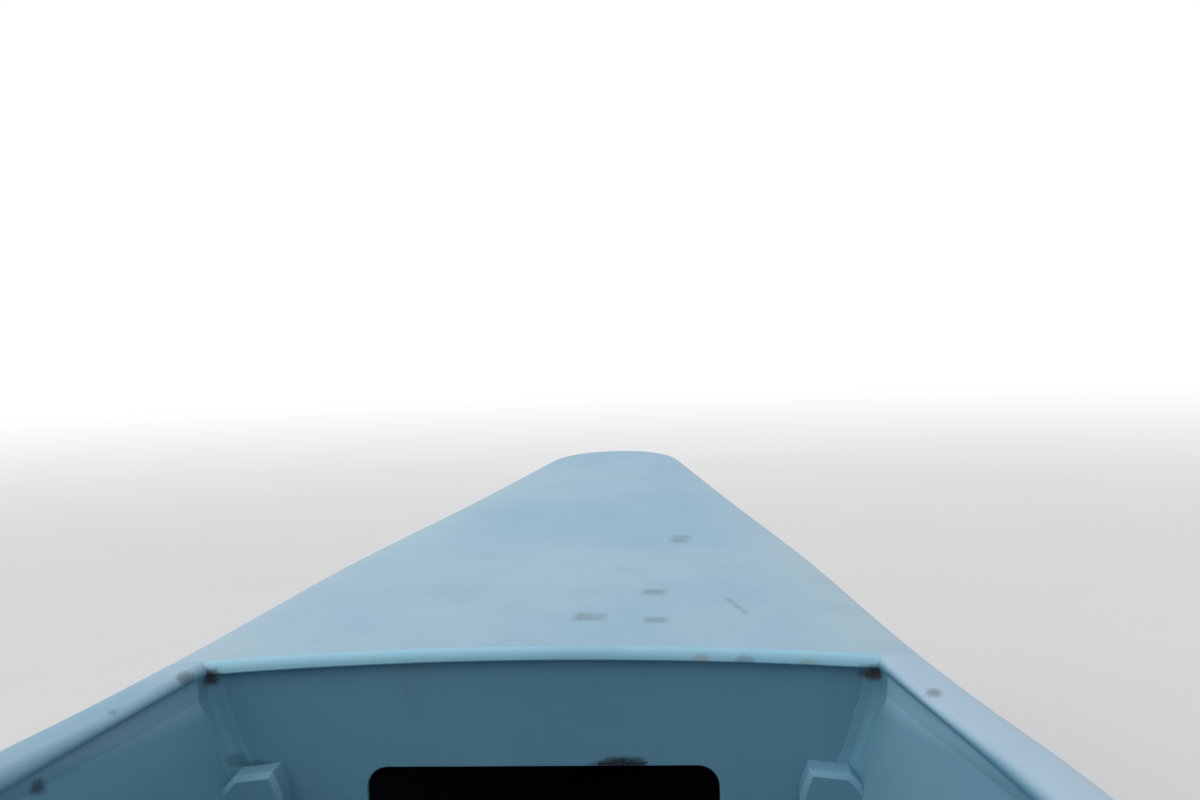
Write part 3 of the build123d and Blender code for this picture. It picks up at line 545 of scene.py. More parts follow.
class Finish:
    """One material, or the world's, as it is being made."""

    def __init__(self, owner, end="ShaderNodeOutputMaterial"):
        self.owner = owner
        owner.use_nodes = True
        self.tree = owner.node_tree
        self.tree.nodes.clear()
        self.end = self.tree.nodes.new(end)
        self.tint = self.rough = self.height = None
        self.place = self.node("ShaderNodeTexCoord", output="Object")

    def node(self, kind, settings=None, sockets=None, output=0):
        """A node of that kind, with settings first and then its sockets' values or links."""
        made = self.tree.nodes.new(kind)
        for key, value in (settings or {}).items():
            setattr(made, key, value)
        for key, value in (sockets or {}).items():
            if isinstance(value, Socket):
                self.tree.links.new(value.output, made.inputs[key])
            else:
                made.inputs[key].default_value = value
        return Socket(self, made.outputs[output])

    def vector(self, operation, a, b=(0, 0, 0), output=0):
        """Vector maths on one or two vectors."""
        return self.node("ShaderNodeVectorMath", {"operation": operation}, {0: a, 1: b}, output)

    def parts(self, vector):
        """X, Y and Z of a vector; of the place they are in metres."""
        split = self.node("ShaderNodeSeparateXYZ", None, {0: vector})
        return [Socket(self, output) for output in split.output.node.outputs]

    def facing(self):
        """The surface's normal."""
        return self.node("ShaderNodeNewGeometry", output="Normal")

    def noise(self, scale, detail=4.0, roughness=0.55, stretch=(1, 1, 1), distortion=0.0, shift=(0, 0, 0)):
        """Cloudy value from 0 to 1, the scale in turns to a metre."""
        spot = self.node("ShaderNodeMapping", None, {0: self.place, 1: shift, 3: stretch})
        sockets = {"Vector": spot, "Scale": scale, "Detail": detail, "Roughness": roughness, "Distortion": distortion}
        return self.node("ShaderNodeTexNoise", None, sockets)

    def mix(self, a, b, factor):
        """Colour a turned into colour b by the factor."""
        return self.node("ShaderNodeMix", {"data_type": "RGBA"}, {0: factor, 6: a, 7: b}, output=2)

    def over(self, colour, factor):
        """Turns the finish's tint into a colour by the factor."""
        self.tint = self.mix(self.tint, colour, factor)

    def near(self, centre, reach, soft, turn):
        """1 within a box of that reach round a point, in millimetres, its edge soft and its sides turned."""
        offset = self.vector("SUBTRACT", self.place, Vector(centre) * MM)
        offset = self.node("ShaderNodeVectorRotate", {"rotation_type": "Z_AXIS"}, {"Vector": offset, "Angle": turn})
        halves = zip(self.parts(offset), reach)
        wide, deep, tall = (abs(part).above((half + soft) * MM, (half - soft) * MM) for part, half in halves)
        return wide * deep * tall

    def stain(self, centre, reach):
        """1 at a place and less towards a ragged oval's edge, both in millimetres."""
        offset = self.vector("SUBTRACT", self.place, Vector(centre) * MM)
        scaled = self.vector("MULTIPLY", offset, tuple(1 / (half * MM) for half in reach))
        far = self.vector("LENGTH", scaled, output="Value")
        return (far + (self.noise(60.0, 4.0, 0.65) - 0.5)).above(1.15, 0.35)

    def edges(self, radius, full):
        """1 where the surface turns over an edge within the radius."""
        bevel = self.node("ShaderNodeBevel", {"samples": 4}, {"Radius": radius})
        return (1 - self.vector("DOT_PRODUCT", bevel, self.facing(), "Value")).above(0.01, full)

    def surface(self, depth, others=None):
        """Ends the finish in one principled shader, the depth of its relief in millimetres."""
        relief = self.node("ShaderNodeBump", None, {"Height": self.height, "Distance": depth * MM})
        sockets = {"Base Color": self.tint, "Roughness": self.rough, "Normal": relief, **(others or {})}
        return self.shown(self.node("ShaderNodeBsdfPrincipled", None, sockets))

    def shown(self, shader):
        """Ends the finish in that shader."""
        self.tree.links.new(shader.output, self.end.inputs["Surface"])
        return self.owner

    def sightline(self):
        """1 for rays that reach the surface straight, by gloss or through glass."""
        kinds = ("Camera", "Glossy", "Transmission")
        rays = [self.node("ShaderNodeLightPath", output=f"Is {kind} Ray") for kind in kinds]
        return rays[0].most(rays[1]).most(rays[2])


def linear(value):
    """Linear light of one display value from 0 to 255."""
    share = value / 255
    return share / 12.92 if share <= 0.04045 else ((share + 0.055) / 1.055) ** 2.4


def shade(red, green, blue):
    """Colour in linear light out of display values."""
    return (linear(red), linear(green), linear(blue), 1.0)


def lighter(colour, share):
    """The colour made lighter or darker by a share."""
    return tuple(channel * share for channel in colour[:3]) + (1.0,)


# ---- finishes


def paint_finish(f, colour, grime, gloss, wear, marks_and_light=None, share=1.0):
    """Old marine paint over fibreglass: blotched, scuffed, paler on its edges."""
    colour = lighter(colour, share)
    clouds = f.noise(1.6, 4.0, 0.55, shift=(2, 5, 1))
    mottle = f.noise(9.0, 6.0, 0.62, shift=(3, 1, 7))
    fine = f.noise(110.0, 4.0, 0.6, shift=(5, 2, 1))
    red, green, blue = colour[:3]
    deep = (red * 0.86, green * 0.93, blue * 0.97, 1.0)
    chalky = (red * 1.12, green * 1.05, blue, 1.0)
    f.tint = f.mix(deep, chalky, clouds.above(0.3, 0.7))
    f.over(lighter(colour, 0.9), mottle.above(0.5, 0.78) * 0.5)
    f.over(chalky, fine.above(0.55, 0.8) * 0.25)
    dirt = f.noise(6.0, 5.0, 0.65, stretch=(2.6, 2.6, 0.5)).above(0.48, 0.8) * grime
    f.over((0.07, 0.085, 0.085, 1), dirt * 0.5)
    cells = f.node("ShaderNodeTexVoronoi", None, {"Vector": f.place, "Scale": 52.0})
    specks = cells.above(0.1, 0.04) * f.noise(4.0).above(0.52, 0.66)
    f.over((0.09, 0.075, 0.06, 1), specks * 0.4)
    rub = f.edges(0.004, 0.16) * f.noise(38.0, 5.0, 0.6).above(0.42, 0.66) * wear
    f.over(lighter(colour, 1.4), rub)
    f.rough = gloss + mottle * 0.16 + dirt * 0.2 + rub * 0.1
    f.height = mottle * 0.45 + fine * 0.1 + f.noise(420.0, 2.0) * 0.05
    if marks_and_light:
        marks_and_light(f)
    return f.surface(1.2, {"IOR": 1.48})


def stains_and_shadows(f, stains):
    """Adds stains and scars, and the painted shadows listed among them: each a place, its reach, its colour and how
    strongly it shows.
    """
    for centre, reach, colour, strength in stains:
        mark = f.stain(centre, reach) * strength
        f.over(colour, mark)
        f.rough += mark * 0.2
        f.height -= mark * 0.2


def deck_wear_and_lip_highlight(f):
    """Paler towards its sides, a painted highlight along the rolled aft lip, and worn patches, a scuff and rust on the
    foredeck.
    """
    x, y, _ = f.parts(f.place)
    side = abs(x) / (1.02 - y * 0.25)
    f.over(shade(163, 189, 203), (side + f.noise(3.5) * 0.4).above(0.72, 1.15) * 0.6)
    # Painted highlight: the rolled aft lip is tinted lighter and bluer, as if lit from above.
    f.over(shade(152, 205, 226), y.above(1.500, 1.493) * 0.9)
    middle = f.noise(2.6, 4.0, 0.6, stretch=(1, 0.6, 1), shift=(7, 1, 3)).above(0.46, 0.72)
    f.over(shade(134, 176, 202), middle * 0.5)
    for centre, reach in DECK_PATCHES:
        mark = f.near(centre, reach, 10, 0.06) * (0.55 + f.noise(30.0).above(0.3, 0.7) * 0.35)
        f.over(shade(106, 134, 152), mark)
        f.height -= mark * 0.15
    scuff = f.near((318, 1738, 600), (4, 50, 200), 8, -0.35) * f.noise(45.0).above(0.3, 0.5)
    f.over(shade(104, 138, 154), scuff * 0.9)
    stains_and_shadows(f, DECK_WEAR)


def rim_light_shade_and_smears(f):
    """Painted light and shade on the gunwale caps, plus smears. Starboard tops are lighter, the port cap is darker away
    from the bulkhead, and faces turned inboard are painted with the shaded inner colour.
    """
    across, _, rise = f.parts(f.facing())
    x, y, _ = f.parts(f.place)
    inward = (across * x).above(0.0, -0.2) * rise.above(0.72 + x.above(0.2, -0.2) * 0.25, 0.1)
    # Painted highlight: the upward faces of the starboard cap are lighter.
    f.over(shade(168, 192, 210), x.above(-0.1, 0.3) * rise.above(0.5, 0.9) * 0.75)
    # Painted shade: the port cap is darker, fading out towards the bulkhead.
    f.over(shade(128, 166, 190), x.above(0.1, -0.3) * y.above(1.5, 1.36) * 0.75)
    # Painted shade: faces turned inboard and not upward take the shaded inner colour, by side.
    inward_shade_colour = tuple(bpy.context.scene.skiff_colours.inner)
    f.over(inward_shade_colour, inward * (0.72 + x.above(-0.2, 0.2) * 0.28))
    stains_and_shadows(f, RIM_WEAR)


def panel_light_and_grime(f):
    """Painted light on the topsides' inner faces, plus grime. The upper part is lighter, starboard is greyer and
    lighter, and there is a light band just under the caps.
    """
    x, _, z = f.parts(f.place)
    # Painted light against the shade under the caps: the upper part is lighter, more so on port.
    high = (z + f.noise(4.0) * 0.06).above(0.37, 0.49)
    f.over(shade(104, 160, 187), high * (0.62 + x.above(0.2, -0.2) * 0.13))
    # Painted light: starboard is greyer and lighter.
    f.over(shade(112, 148, 168), x.above(-0.1, 0.3) * 0.45)
    # Painted light: a light band just under the caps, where their overhang shades the topside.
    f.over(shade(142, 184, 206), z.above(0.435, 0.468) * 0.85)
    stains_and_shadows(f, PANEL_WEAR)


def waterline_marks(f):
    """Scum line and slime stain along the waterline."""
    level = f.parts(f.place)[2] + (f.noise(2.4, 4.0, 0.6) * 0.05 + f.noise(22.0, 3.0) * 0.012)
    line = level.above(0.075, 0.055) * level.above(0.015, 0.045)
    under = level.above(0.06, 0.02)
    f.over((0.085, 0.10, 0.062, 1), line * 0.55)
    f.over((0.10, 0.135, 0.10, 1), under * 0.5)
    f.rough += line * 0.25 + under * 0.15


def bulkhead_marks(f):
    """Darker foot of the bulkhead, rust at its top corners, grime with painted shadow round the port post's top, and
    damp round the hatch.
    """
    low = (f.parts(f.place)[2] + f.noise(5.0) * 0.08).above(0.34, 0.12)
    f.over((0.03, 0.075, 0.115, 1), low * 0.25)
    stains_and_shadows(f, BULKHEAD_STAINS_AND_SHADOW)


def post_lit_faces(f):
    """Painted light on a corner post: its top and sides are lighter than its aft face."""
    # Painted highlight by facing: the less a face looks aft, the lighter it is.
    aft = abs(f.parts(f.facing())[1])
    pale = (1 - aft + f.noise(22.0) * 0.1).above(0.12, 0.3)
    f.over(shade(112, 160, 182), pale * 0.8)


def plain_finish(f, dark, pale, noise, low, rough, rise, depth):
    """Matter in two tones, with one noise in its colour, roughness and relief. Used for unpainted matter, and for the
    locker's near-black painted shade.
    """
    cloud = f.noise(*noise)
    f.tint, f.rough, f.height = f.mix(dark, pale, cloud.above(low, 0.7)), rough + cloud * rise, cloud
    return f.surface(depth)


def wood_finish(f, colour):
    """Weathered board: grain along it, grey on top, dark in its splits."""
    x, _, _ = f.parts(f.place)
    band = f.noise(14.0, 6.0, 0.65, stretch=(3.2, 0.16, 3.2), distortion=0.6)
    fibre = f.noise(120.0, 4.0, 0.7, stretch=(2.0, 0.035, 2.0))
    board = f.node("ShaderNodeMath", {"operation": "FLOOR"}, {0: (x + BOARD_PITCH / 2) / BOARD_PITCH})
    tone = f.node("ShaderNodeTexWhiteNoise", {"noise_dimensions": "1D"}, {"W": board})
    f.tint = f.mix(lighter(colour, 0.62), lighter(colour, 1.22), band.above(0.3, 0.7))
    f.over(lighter(colour, 0.5), fibre.above(0.56, 0.7) * 0.6)
    f.over(lighter(colour, 1.35), tone * 0.35)
    f.over((0.22, 0.225, 0.21, 1), f.noise(3.0).above(0.4, 0.7) * 0.45)
    wet = f.noise(1.9, 3.0, shift=(4, 8, 2)).above(0.52, 0.66)
    f.over(lighter(colour, 0.42), wet * 0.4)
    f.rough, f.height = 0.72 - wet * 0.25 + fibre * 0.1, band * 0.4 + fibre * 0.6
    return f.surface(1.4)


def metal_finish(f, colour, metal=1.0, gloss=0.34, wear=0.6, coat=0.0):
    """Cast or sheet metal, bare or painted, rubbed bright on its edges."""
    cloud = f.noise(9.0, 5.0, 0.6)
    fine = f.noise(160.0, 4.0, 0.6)
    rub = f.edges(0.0025, 0.14) * f.noise(60.0, 5.0).above(0.36, 0.6) * wear
    salt = f.noise(24.0, 6.0, 0.7).above(0.58, 0.76)
    f.tint = f.mix(lighter(colour, 0.8), lighter(colour, 1.18), cloud.above(0.3, 0.7))
    f.over((0.42, 0.43, 0.42, 1), salt * 0.3)
    f.over((0.62, 0.62, 0.6, 1), rub)
    others = {"Metallic": (rub + metal).clamped(), "Coat Weight": coat, "Coat Roughness": 0.12}
    f.rough, f.height = gloss + cloud * 0.14 + salt * 0.24, fine * 0.5 + cloud * 0.3
    return f.surface(0.5, others)


def rubber_finish(f):
    """Black moulded rubber, dusty in its hollows."""
    dust = f.noise(40.0, 5.0, 0.65).above(0.45, 0.75)
    f.tint = f.mix((0.018, 0.018, 0.019, 1), (0.09, 0.088, 0.082, 1), dust * 0.6)
    f.rough, f.height = 0.66 + dust * 0.2, f.noise(300.0, 3.0)
    return f.surface(0.4)


class SkiffColours(bpy.types.PropertyGroup):
    """Colours of the boat's finishes."""

    paint: bpy.props.FloatVectorProperty(
        name="Deck paint", description="Paint of deck and rims", subtype="COLOR", size=4, default=shade(144, 181, 204)
    )
    hull: bpy.props.FloatVectorProperty(
        name="Hull paint", description="Paint of the topsides", subtype="COLOR", size=4, default=shade(146, 174, 194)
    )
    # Darker than the deck paint: partly painted shade of the inside, partly paint less faded by the sun.
    inner: bpy.props.FloatVectorProperty(
        name="Inner paint", description="Paint of the inside", subtype="COLOR", size=4, default=shade(88, 139, 163)
    )
    board: bpy.props.FloatVectorProperty(
        name="Board", description="Wood of the sole", subtype="COLOR", size=4, default=(0.23, 0.17, 0.11, 1)
    )
    cowling: bpy.props.FloatVectorProperty(
        name="Cowling", description="Enamel of the cowling", subtype="COLOR", size=4, default=(0.014, 0.015, 0.018, 1)
    )


class SkiffSizes(bpy.types.PropertyGroup):
    """Sizes that the dressed pieces take beyond the frame's."""

    row_step: bpy.props.FloatProperty(
        name="Row step", description="Spacing of the sections along the hull", unit="LENGTH", default=0.08, min=0.02
    )
    floor_reach: bpy.props.FloatProperty(
        name="Floor reach", description="Half width of the floor", unit="LENGTH", default=60.0, min=10
    )


# What makes each finish and what it is given; a word among that is one of the colours above
FINISHES = {
    "deck_paint": (paint_finish, "paint", 0.1, 0.42, 0.5, deck_wear_and_lip_highlight),
    "trim_paint": (paint_finish, "paint", 0.16, 0.44, 0.7, rim_light_shade_and_smears),
    "hull_paint": (paint_finish, "hull", 0.35, 0.4, 0.6, waterline_marks),
    # The inside finishes take the inner paint, which holds painted shade.
    "inner_laminate": (paint_finish, "inner", 0.35, 0.55, 0.6, panel_light_and_grime),
    "bulkhead_paint": (paint_finish, "inner", 0.3, 0.55, 0.6, bulkhead_marks),
    "post_paint": (paint_finish, "inner", 0.2, 0.55, 0.6, post_lit_faces),
    "tape_paint": (paint_finish, "inner", 0.2, 0.55, 0.6, bulkhead_marks, 1.12),
    "thwart_paint": (paint_finish, "paint", 0.4, 0.42, 0.9),
    # Near-black inside of the bow locker and underside of the foredeck: painted shade of the closed locker.
    "locker_laminate": (
        *(plain_finish, (0.006, 0.007, 0.008, 1), (0.016, 0.018, 0.019, 1)),
        *((34.0, 5.0, 0.7, (1, 0.4, 1)), 0.35, 0.85, 0.1, 1.0),
    ),
    "frayed_fibre": (
        *(plain_finish, (0.008, 0.014, 0.024, 1), (0.05, 0.075, 0.1, 1)),
        *((300.0, 3.0, 0.6), 0.4, 0.6, 0.2, 0.4),
    ),
    "rusted_screw": (
        *(plain_finish, (0.035, 0.017, 0.011, 1), (0.17, 0.07, 0.032, 1)),
        *((420.0, 5.0, 0.7), 0.35, 0.78, 0.15, 0.6),
    ),
    "board_wood": (wood_finish, "board"),
    "pad_wood": (wood_finish, (0.3, 0.2, 0.12, 1)),
    "pad_alloy": (metal_finish, (0.5, 0.51, 0.52, 1)),
    "motor_casting": (metal_finish, (0.035, 0.037, 0.04, 1), 0.0, 0.42, 0.7),
    "propeller_alloy": (metal_finish, (0.36, 0.36, 0.37, 1), 0.9, 0.36),
    "motor_pan": (metal_finish, (0.03, 0.032, 0.035, 1), 0.0, 0.36, 0.4),
    "motor_cowling": (metal_finish, "cowling", 0.0, 0.26, 0.15, 0.8),
    "stop_red": (metal_finish, (0.35, 0.02, 0.015, 1), 0.0, 0.4, 0.1),
    "grip_rubber": (rubber_finish,),
}
MADE = {}


def finish(name):
    """The finish of that name, made once."""
    if name not in MADE:
        colours = bpy.context.scene.skiff_colours
        maker, *given = FINISHES[name]
        given = [tuple(getattr(colours, value)) if isinstance(value, str) else value for value in given]
        MADE[name] = maker(Finish(bpy.data.materials.new(name)), *given)
    return MADE[name]


# ---- hull and deck


def moulded(row, inset, rim, turns):
    """Section of the moulding from port to starboard, with the points of its rim and the radii of its turns."""
    flat = row.half_chine * (1 - CHINE_FLAT)
    half = [
        (0, row.keel + inset),
        (flat - inset, row.chine + inset),
        (row.half_chine - inset, row.chine + inset),
        (row.half_beam - row.rim - inset, row.sheer - SHEER_BAND),
        *rim,
    ]
    return eased(both_sides(half), turns + turns[-2::-1])


def outer_chain(row, inset=0.0):
    """Outside of the moulding with its flange."""
    side = row.half_beam - row.rim - inset
    edge = row.half_beam - CAP_WALL - 1 - inset
    low = row.sheer - HULL_DROP - LAMINATE
    return moulded(row, inset, [(side, low), (edge, low), (edge, row.sheer - HULL_DROP)], [3, 4, 12, 5, 14, 50])


def inner_chain(row):
    """Inside of the moulding."""
    side = row.half_beam - row.rim - LAMINATE
    return moulded(row, LAMINATE, [(side, row.sheer - RIM_TUCK)], [12, 18, 24, 60])


def notch_chain():
    """Motor notch in the transom's top, from starboard to port."""
    half = NOTCH_WIDTH / 2
    top = faired(TRANSOM_TOP_Y).sheer - HULL_DROP
    return eased([(half, top), (half, NOTCH_TOP), (-half, NOTCH_TOP), (-half, top)], [NOTCH_RADIUS] * 2, 5)


class SKIFF_OT_hull(bpy.types.Operator):
    """Lays up the hull moulding with its chines, flange, nose and notched transom"""

    bl_idname = "skiff.hull"
    bl_label = "Hull Moulding"

    def execute(self, context):
        rows = fore_rows(FIRST_ROW_Y, context.scene.skiff_sizes.row_step / MM)
        form = Form()
        outer = []
        for turn in (90, 60, 30, 0):
            inset = TRANSOM_CORNER * (1 - cos(radians(turn)))
            ahead = TRANSOM_CORNER * (1 - sin(radians(turn)))
            outer.append(form.row(raked(lambda y: outer_chain(faired(y), inset), ahead)))
        fore = STEM_Y - CAP_WALL - 1
        outer += [form.row(at(outer_chain(row), min(row.y, fore))) for row in rows]
        inner = [form.row(raked(lambda y: inner_chain(faired(y)), TRANSOM_THICK))]
        inner += [form.row(at(inner_chain(row), min(row.y, fore - LAMINATE))) for row in rows]
        form.skin(outer)
        form.tone(0)
        # Forward of the bulkhead, the inner skin takes the locker's near-black painted shade.
        locker = next(i for i, row in enumerate(rows) if row.y > BULKHEAD_FACE) + 1
        form.skin(inner[: locker + 1])
        form.tone(1)
        form.skin(inner[locker:])
        form.faces.append(tuple(inner[-1]))
        form.tone(2)
        form.close(outer[3:], inner)
        notch = notch_chain()
        outer_notch = form.row([(x, transom_y(z), z) for x, z in notch])
        inner_notch = form.row([(x, transom_y(z, TRANSOM_THICK), z) for x, z in notch])
        form.faces.append(tuple(outer[0] + outer_notch))
        form.tone(0)
        form.faces.append(tuple(inner[0] + inner_notch))
        form.tone(1)
        form.strip([outer[0][-1], *outer_notch, outer[0][0]], [inner[0][-1], *inner_notch, inner[0][0]])
        for end in (0, -1):
            form.faces.append((*(row[end] for row in outer[:4]), inner[0][end]))
        finishes = ("hull_paint", "inner_laminate", "locker_laminate")
        form.build("hull_moulding", "hull", finishes, "hull_paint", HULL_PANELS)
        return {"FINISHED"}


def crown(x, row, share=1.0):
    """Height of the cambered deck over a point across it."""
    return row.sheer + share * row.half_beam * DECK_CAMBER * (1 - (x / row.half_beam) ** 2)


def shoulder(row, inset, radius, share):
    """Outer skirt and rolled shoulder, from the skirt's foot to where it meets the top."""
    half = row.half_beam - inset
    lean = atan(2 * DECK_CAMBER * share)
    meet = half - radius * (1 - sin(lean))
    centre_z = crown(meet, row, share) - inset - radius * cos(lean)
    chain = [(half, row.sheer - CAP_SKIRT), (half, (row.sheer - CAP_SKIRT + centre_z) / 2)]
    for turn in spaced(0, pi / 2 - lean, (pi / 2 - lean) / 7):
        chain.append((half - radius + radius * cos(turn), centre_z + radius * sin(turn)))
    return chain


def cap_top(x, row, share, start):
    """Height of a gunwale cap's top, which droops inward from its shoulder where it isn't drawn into the deck."""
    past = max(0, (start - x) / (start - row.half_beam + CAP_WIDTH))
    return crown(x, row, share) - CAP_DROOP * (1 - share) * past**2


def cap_chain(y):
    """Closed section of the starboard gunwale cap, its top drawn into the deck's crown at the bulkhead."""
    row = faired(y)
    share = smoothstep(y, BULKHEAD_Y - CROWN_BLEND, BULKHEAD_Y)
    lip = CAP_LIP + (CAP_LIP_FORE - CAP_LIP) * smoothstep(y, BULKHEAD_Y - LIP_BLEND, BULKHEAD_Y)
    roll = CAP_ROLL + (CAP_ROLL_FORE - CAP_ROLL) * smoothstep(y, BULKHEAD_Y - ROLL_BLEND, BULKHEAD_Y)
    chain = shoulder(row, 0, CAP_SHOULDER, share)
    start, inner = chain[-1][0], row.half_beam - CAP_WIDTH
    flat = inner + roll
    chain += [(x, cap_top(x, row, share, start)) for x in spaced(start, flat, (start - flat) / 3)[1:]]
    top = cap_top(flat, row, share, start)
    fall = top - row.sheer + lip - 3
    for turn in spaced(0, pi / 2, pi / 18)[1:]:
        chain.append((flat - roll * sin(turn), top - fall * (1 - cos(turn))))
    foot, wall = inner + CAP_TUCK, row.half_beam - CAP_WALL
    return chain + [
        (inner + 1.5, row.sheer - lip - 1),
        (foot, row.sheer - lip - 2),
        (foot, row.sheer - lip + 4),
        (foot + 6, top - CAP_WALL - 5),
        (flat + 4, top - CAP_WALL - 1),
        (start - 4, row.sheer - CAP_WALL),
        (wall - 9, row.sheer - CAP_WALL - 8),
        (wall, row.sheer - CAP_SHOULDER),
        (wall, row.sheer - CAP_SKIRT),
    ]


def rim_end(y, inset):
    """Outline (x, z) of the plate that closes the starboard cap's end at the transom."""
    row = faired(y)
    edge = shoulder(row, inset, CAP_SHOULDER - inset, 0)
    start, flat = edge[-1][0], row.half_beam - CAP_WIDTH + CAP_ROLL
    edge += [(x, cap_top(x, row, 0, start) - inset) for x in spaced(start, flat, (start - flat) / 3)[1:]]
    return edge + [(flat, row.sheer - CAP_SKIRT)]


class SKIFF_OT_rims(bpy.types.Operator):
    """Runs the gunwale caps along both topsides and closes their ends at the transom"""

    bl_idname = "skiff.rims"
    bl_label = "Gunwale Caps"

    def execute(self, context):
        blend = BULKHEAD_Y - CROWN_BLEND
        places = spaced(FIRST_ROW_Y, blend, context.scene.skiff_sizes.row_step / MM)
        places += spaced(blend, BULKHEAD_Y, BLEND_STEP)[1:]
        for side_name, side in (("port", -1), ("starboard", 1)):
            chains = [raked(cap_chain)] + [at(cap_chain(y), y) for y in places]
            body = [[(side * x, y, z) for x, y, z in chain] for chain in chains]
            tubes([body], f"rim_{side_name}", "hull", ["trim_paint"], "trim_paint", [f"gunwale_{side_name}"])
        self.transom()
        return {"FINISHED"}

    def transom(self):
        """Rolled cap over the transom each side of the notch, run into the gunwale caps."""
        row = faired(transom_y(NOTCH_TOP))
        top = (row.sheer - NOTCH_TOP) / cos(RAKE)
        hull_top = top - HULL_DROP / cos(RAKE) + 1
        aft, fore = -CAP_WALL - 1, TRANSOM_THICK + CAP_WALL + 1
        near, meet = NOTCH_WIDTH / 2 + 4, row.half_beam - CAP_WIDTH
        # Sections of the channel: how far out, how far its top has sunk and how deep its fore skirt is
        run = [(x, 0, CAP_SKIRT) for x in spaced(near + 3.3, meet - 8, 60)]
        run += [(meet + 2, 0.5, CAP_SKIRT), (meet + 6, 0.9, CAP_SKIRT)]
        run += [(meet + out, drop, INNER_SKIRT) for out, drop in ((8, 1.2), (20, 2.6), (29, 4.6))]
        bodies = []
        for side in (-1, 1):
            block = []
            for x, shrink in ((0, 3.2), (1, 1.2), (3, 0), (3.6, 0), (CAP_WALL, 0.6)):
                back, front, roof = aft + shrink, fore - shrink, top - shrink
                corners = [(back, hull_top), (back, roof), (front, roof), (front, hull_top)]
                section = eased(corners, [1, 7, 13, 1], 6, closed=True)
                block.append([(side * (near + x), *on_transom(a, b)) for a, b in section])
            channel = []
            for x, drop, deep in run:
                roof = top - drop
                corners = [
                    (aft, top - CAP_SKIRT),
                    (aft, roof),
                    (fore, roof),
                    (fore, top - deep),
                    (fore - CAP_WALL, top - deep),
                    (fore - CAP_WALL, roof - CAP_WALL),
                    (aft + CAP_WALL, roof - CAP_WALL),
                    (aft + CAP_WALL, top - CAP_SKIRT),
                ]
                section = eased(corners, [1.5, 7, 13, 1.5, 1.5, 7, 1, 1.5], 6, closed=True)
                channel.append([(side * x, *on_transom(a, b)) for a, b in section])
            plate = []
            for turn in spaced(0, pi / 2, pi / 12):
                back, inset = CAP_END_ROUND * sin(turn), CAP_END_ROUND * (1 - cos(turn))
                plate.append([(side * x, y, z) for x, y, z in raked(lambda y: rim_end(y, inset), -back)])
            bodies += [block, channel, plate]
        tubes(bodies, "transom_roll", "hull", ["trim_paint"], "trim_paint", ["transom_cap"], sharp=40)


def deck_chain(row, inset):
    """Section of the foredeck from port to starboard."""
    side = shoulder(row, inset, DECK_SHOULDER - inset, 1.0)
    meet = side[-1][0]
    across = [(x, crown(x, row) - inset) for x in spaced(-meet, meet, meet / 12)[1:-1]]
    return [(-x, z) for x, z in side] + across + side[::-1]


class SKIFF_OT_foredeck(bpy.types.Operator):
    """Moulds the cambered foredeck with its skirts, rounded nose and rolled aft lip"""

    bl_idname = "skiff.foredeck"
    bl_label = "Foredeck"

    def execute(self, context):
        rows = fore_rows(BULKHEAD_Y, context.scene.skiff_sizes.row_step / MM / 2)
        form = Form()
        outer = [form.row(at(deck_chain(row, 0), row.y)) for row in rows]
        inner = [form.row(at(deck_chain(row, CAP_WALL), min(row.y, STEM_Y - CAP_WALL))) for row in rows]
        form.skin(outer)
        form.tone(0)
        # The foredeck's underside takes the locker's near-black painted shade.
        form.skin(inner)
        form.faces.append(tuple(inner[-1]))
        form.tone(1)
        form.strip(outer[0], inner[0])
        form.close(outer, inner)
        form.build("deck_moulding", "hull", ("deck_paint", "locker_laminate"), "deck_paint", ["foredeck"])
        aft, fore = BULKHEAD_Y - LIP_THICK, BULKHEAD_Y + 2
        reach = rows[0].half_beam - CAP_WIDTH + CAP_ROLL_FORE
        turned = [radians(angle) for angle in range(0, 91, 9)]
        chains = []
        for x in spaced(-reach, reach, 25):
            top = crown(x, rows[0])
            roof = top - 0.1
            profile = [(fore, roof)]
            profile += [(BULKHEAD_Y - LIP_THICK * sin(a), roof - LIP_ROLL * (1 - cos(a))) for a in turned]
            profile += [(aft, top - LIP_DEPTH + 2), (aft + 2, top - LIP_DEPTH), (fore, top - LIP_DEPTH)]
            chains.append([(x, y, z) for y, z in profile])
        tubes([chains], "deck_lip", "hull", ["deck_paint"], "deck_paint")
        return {"FINISHED"}


# ---- inside


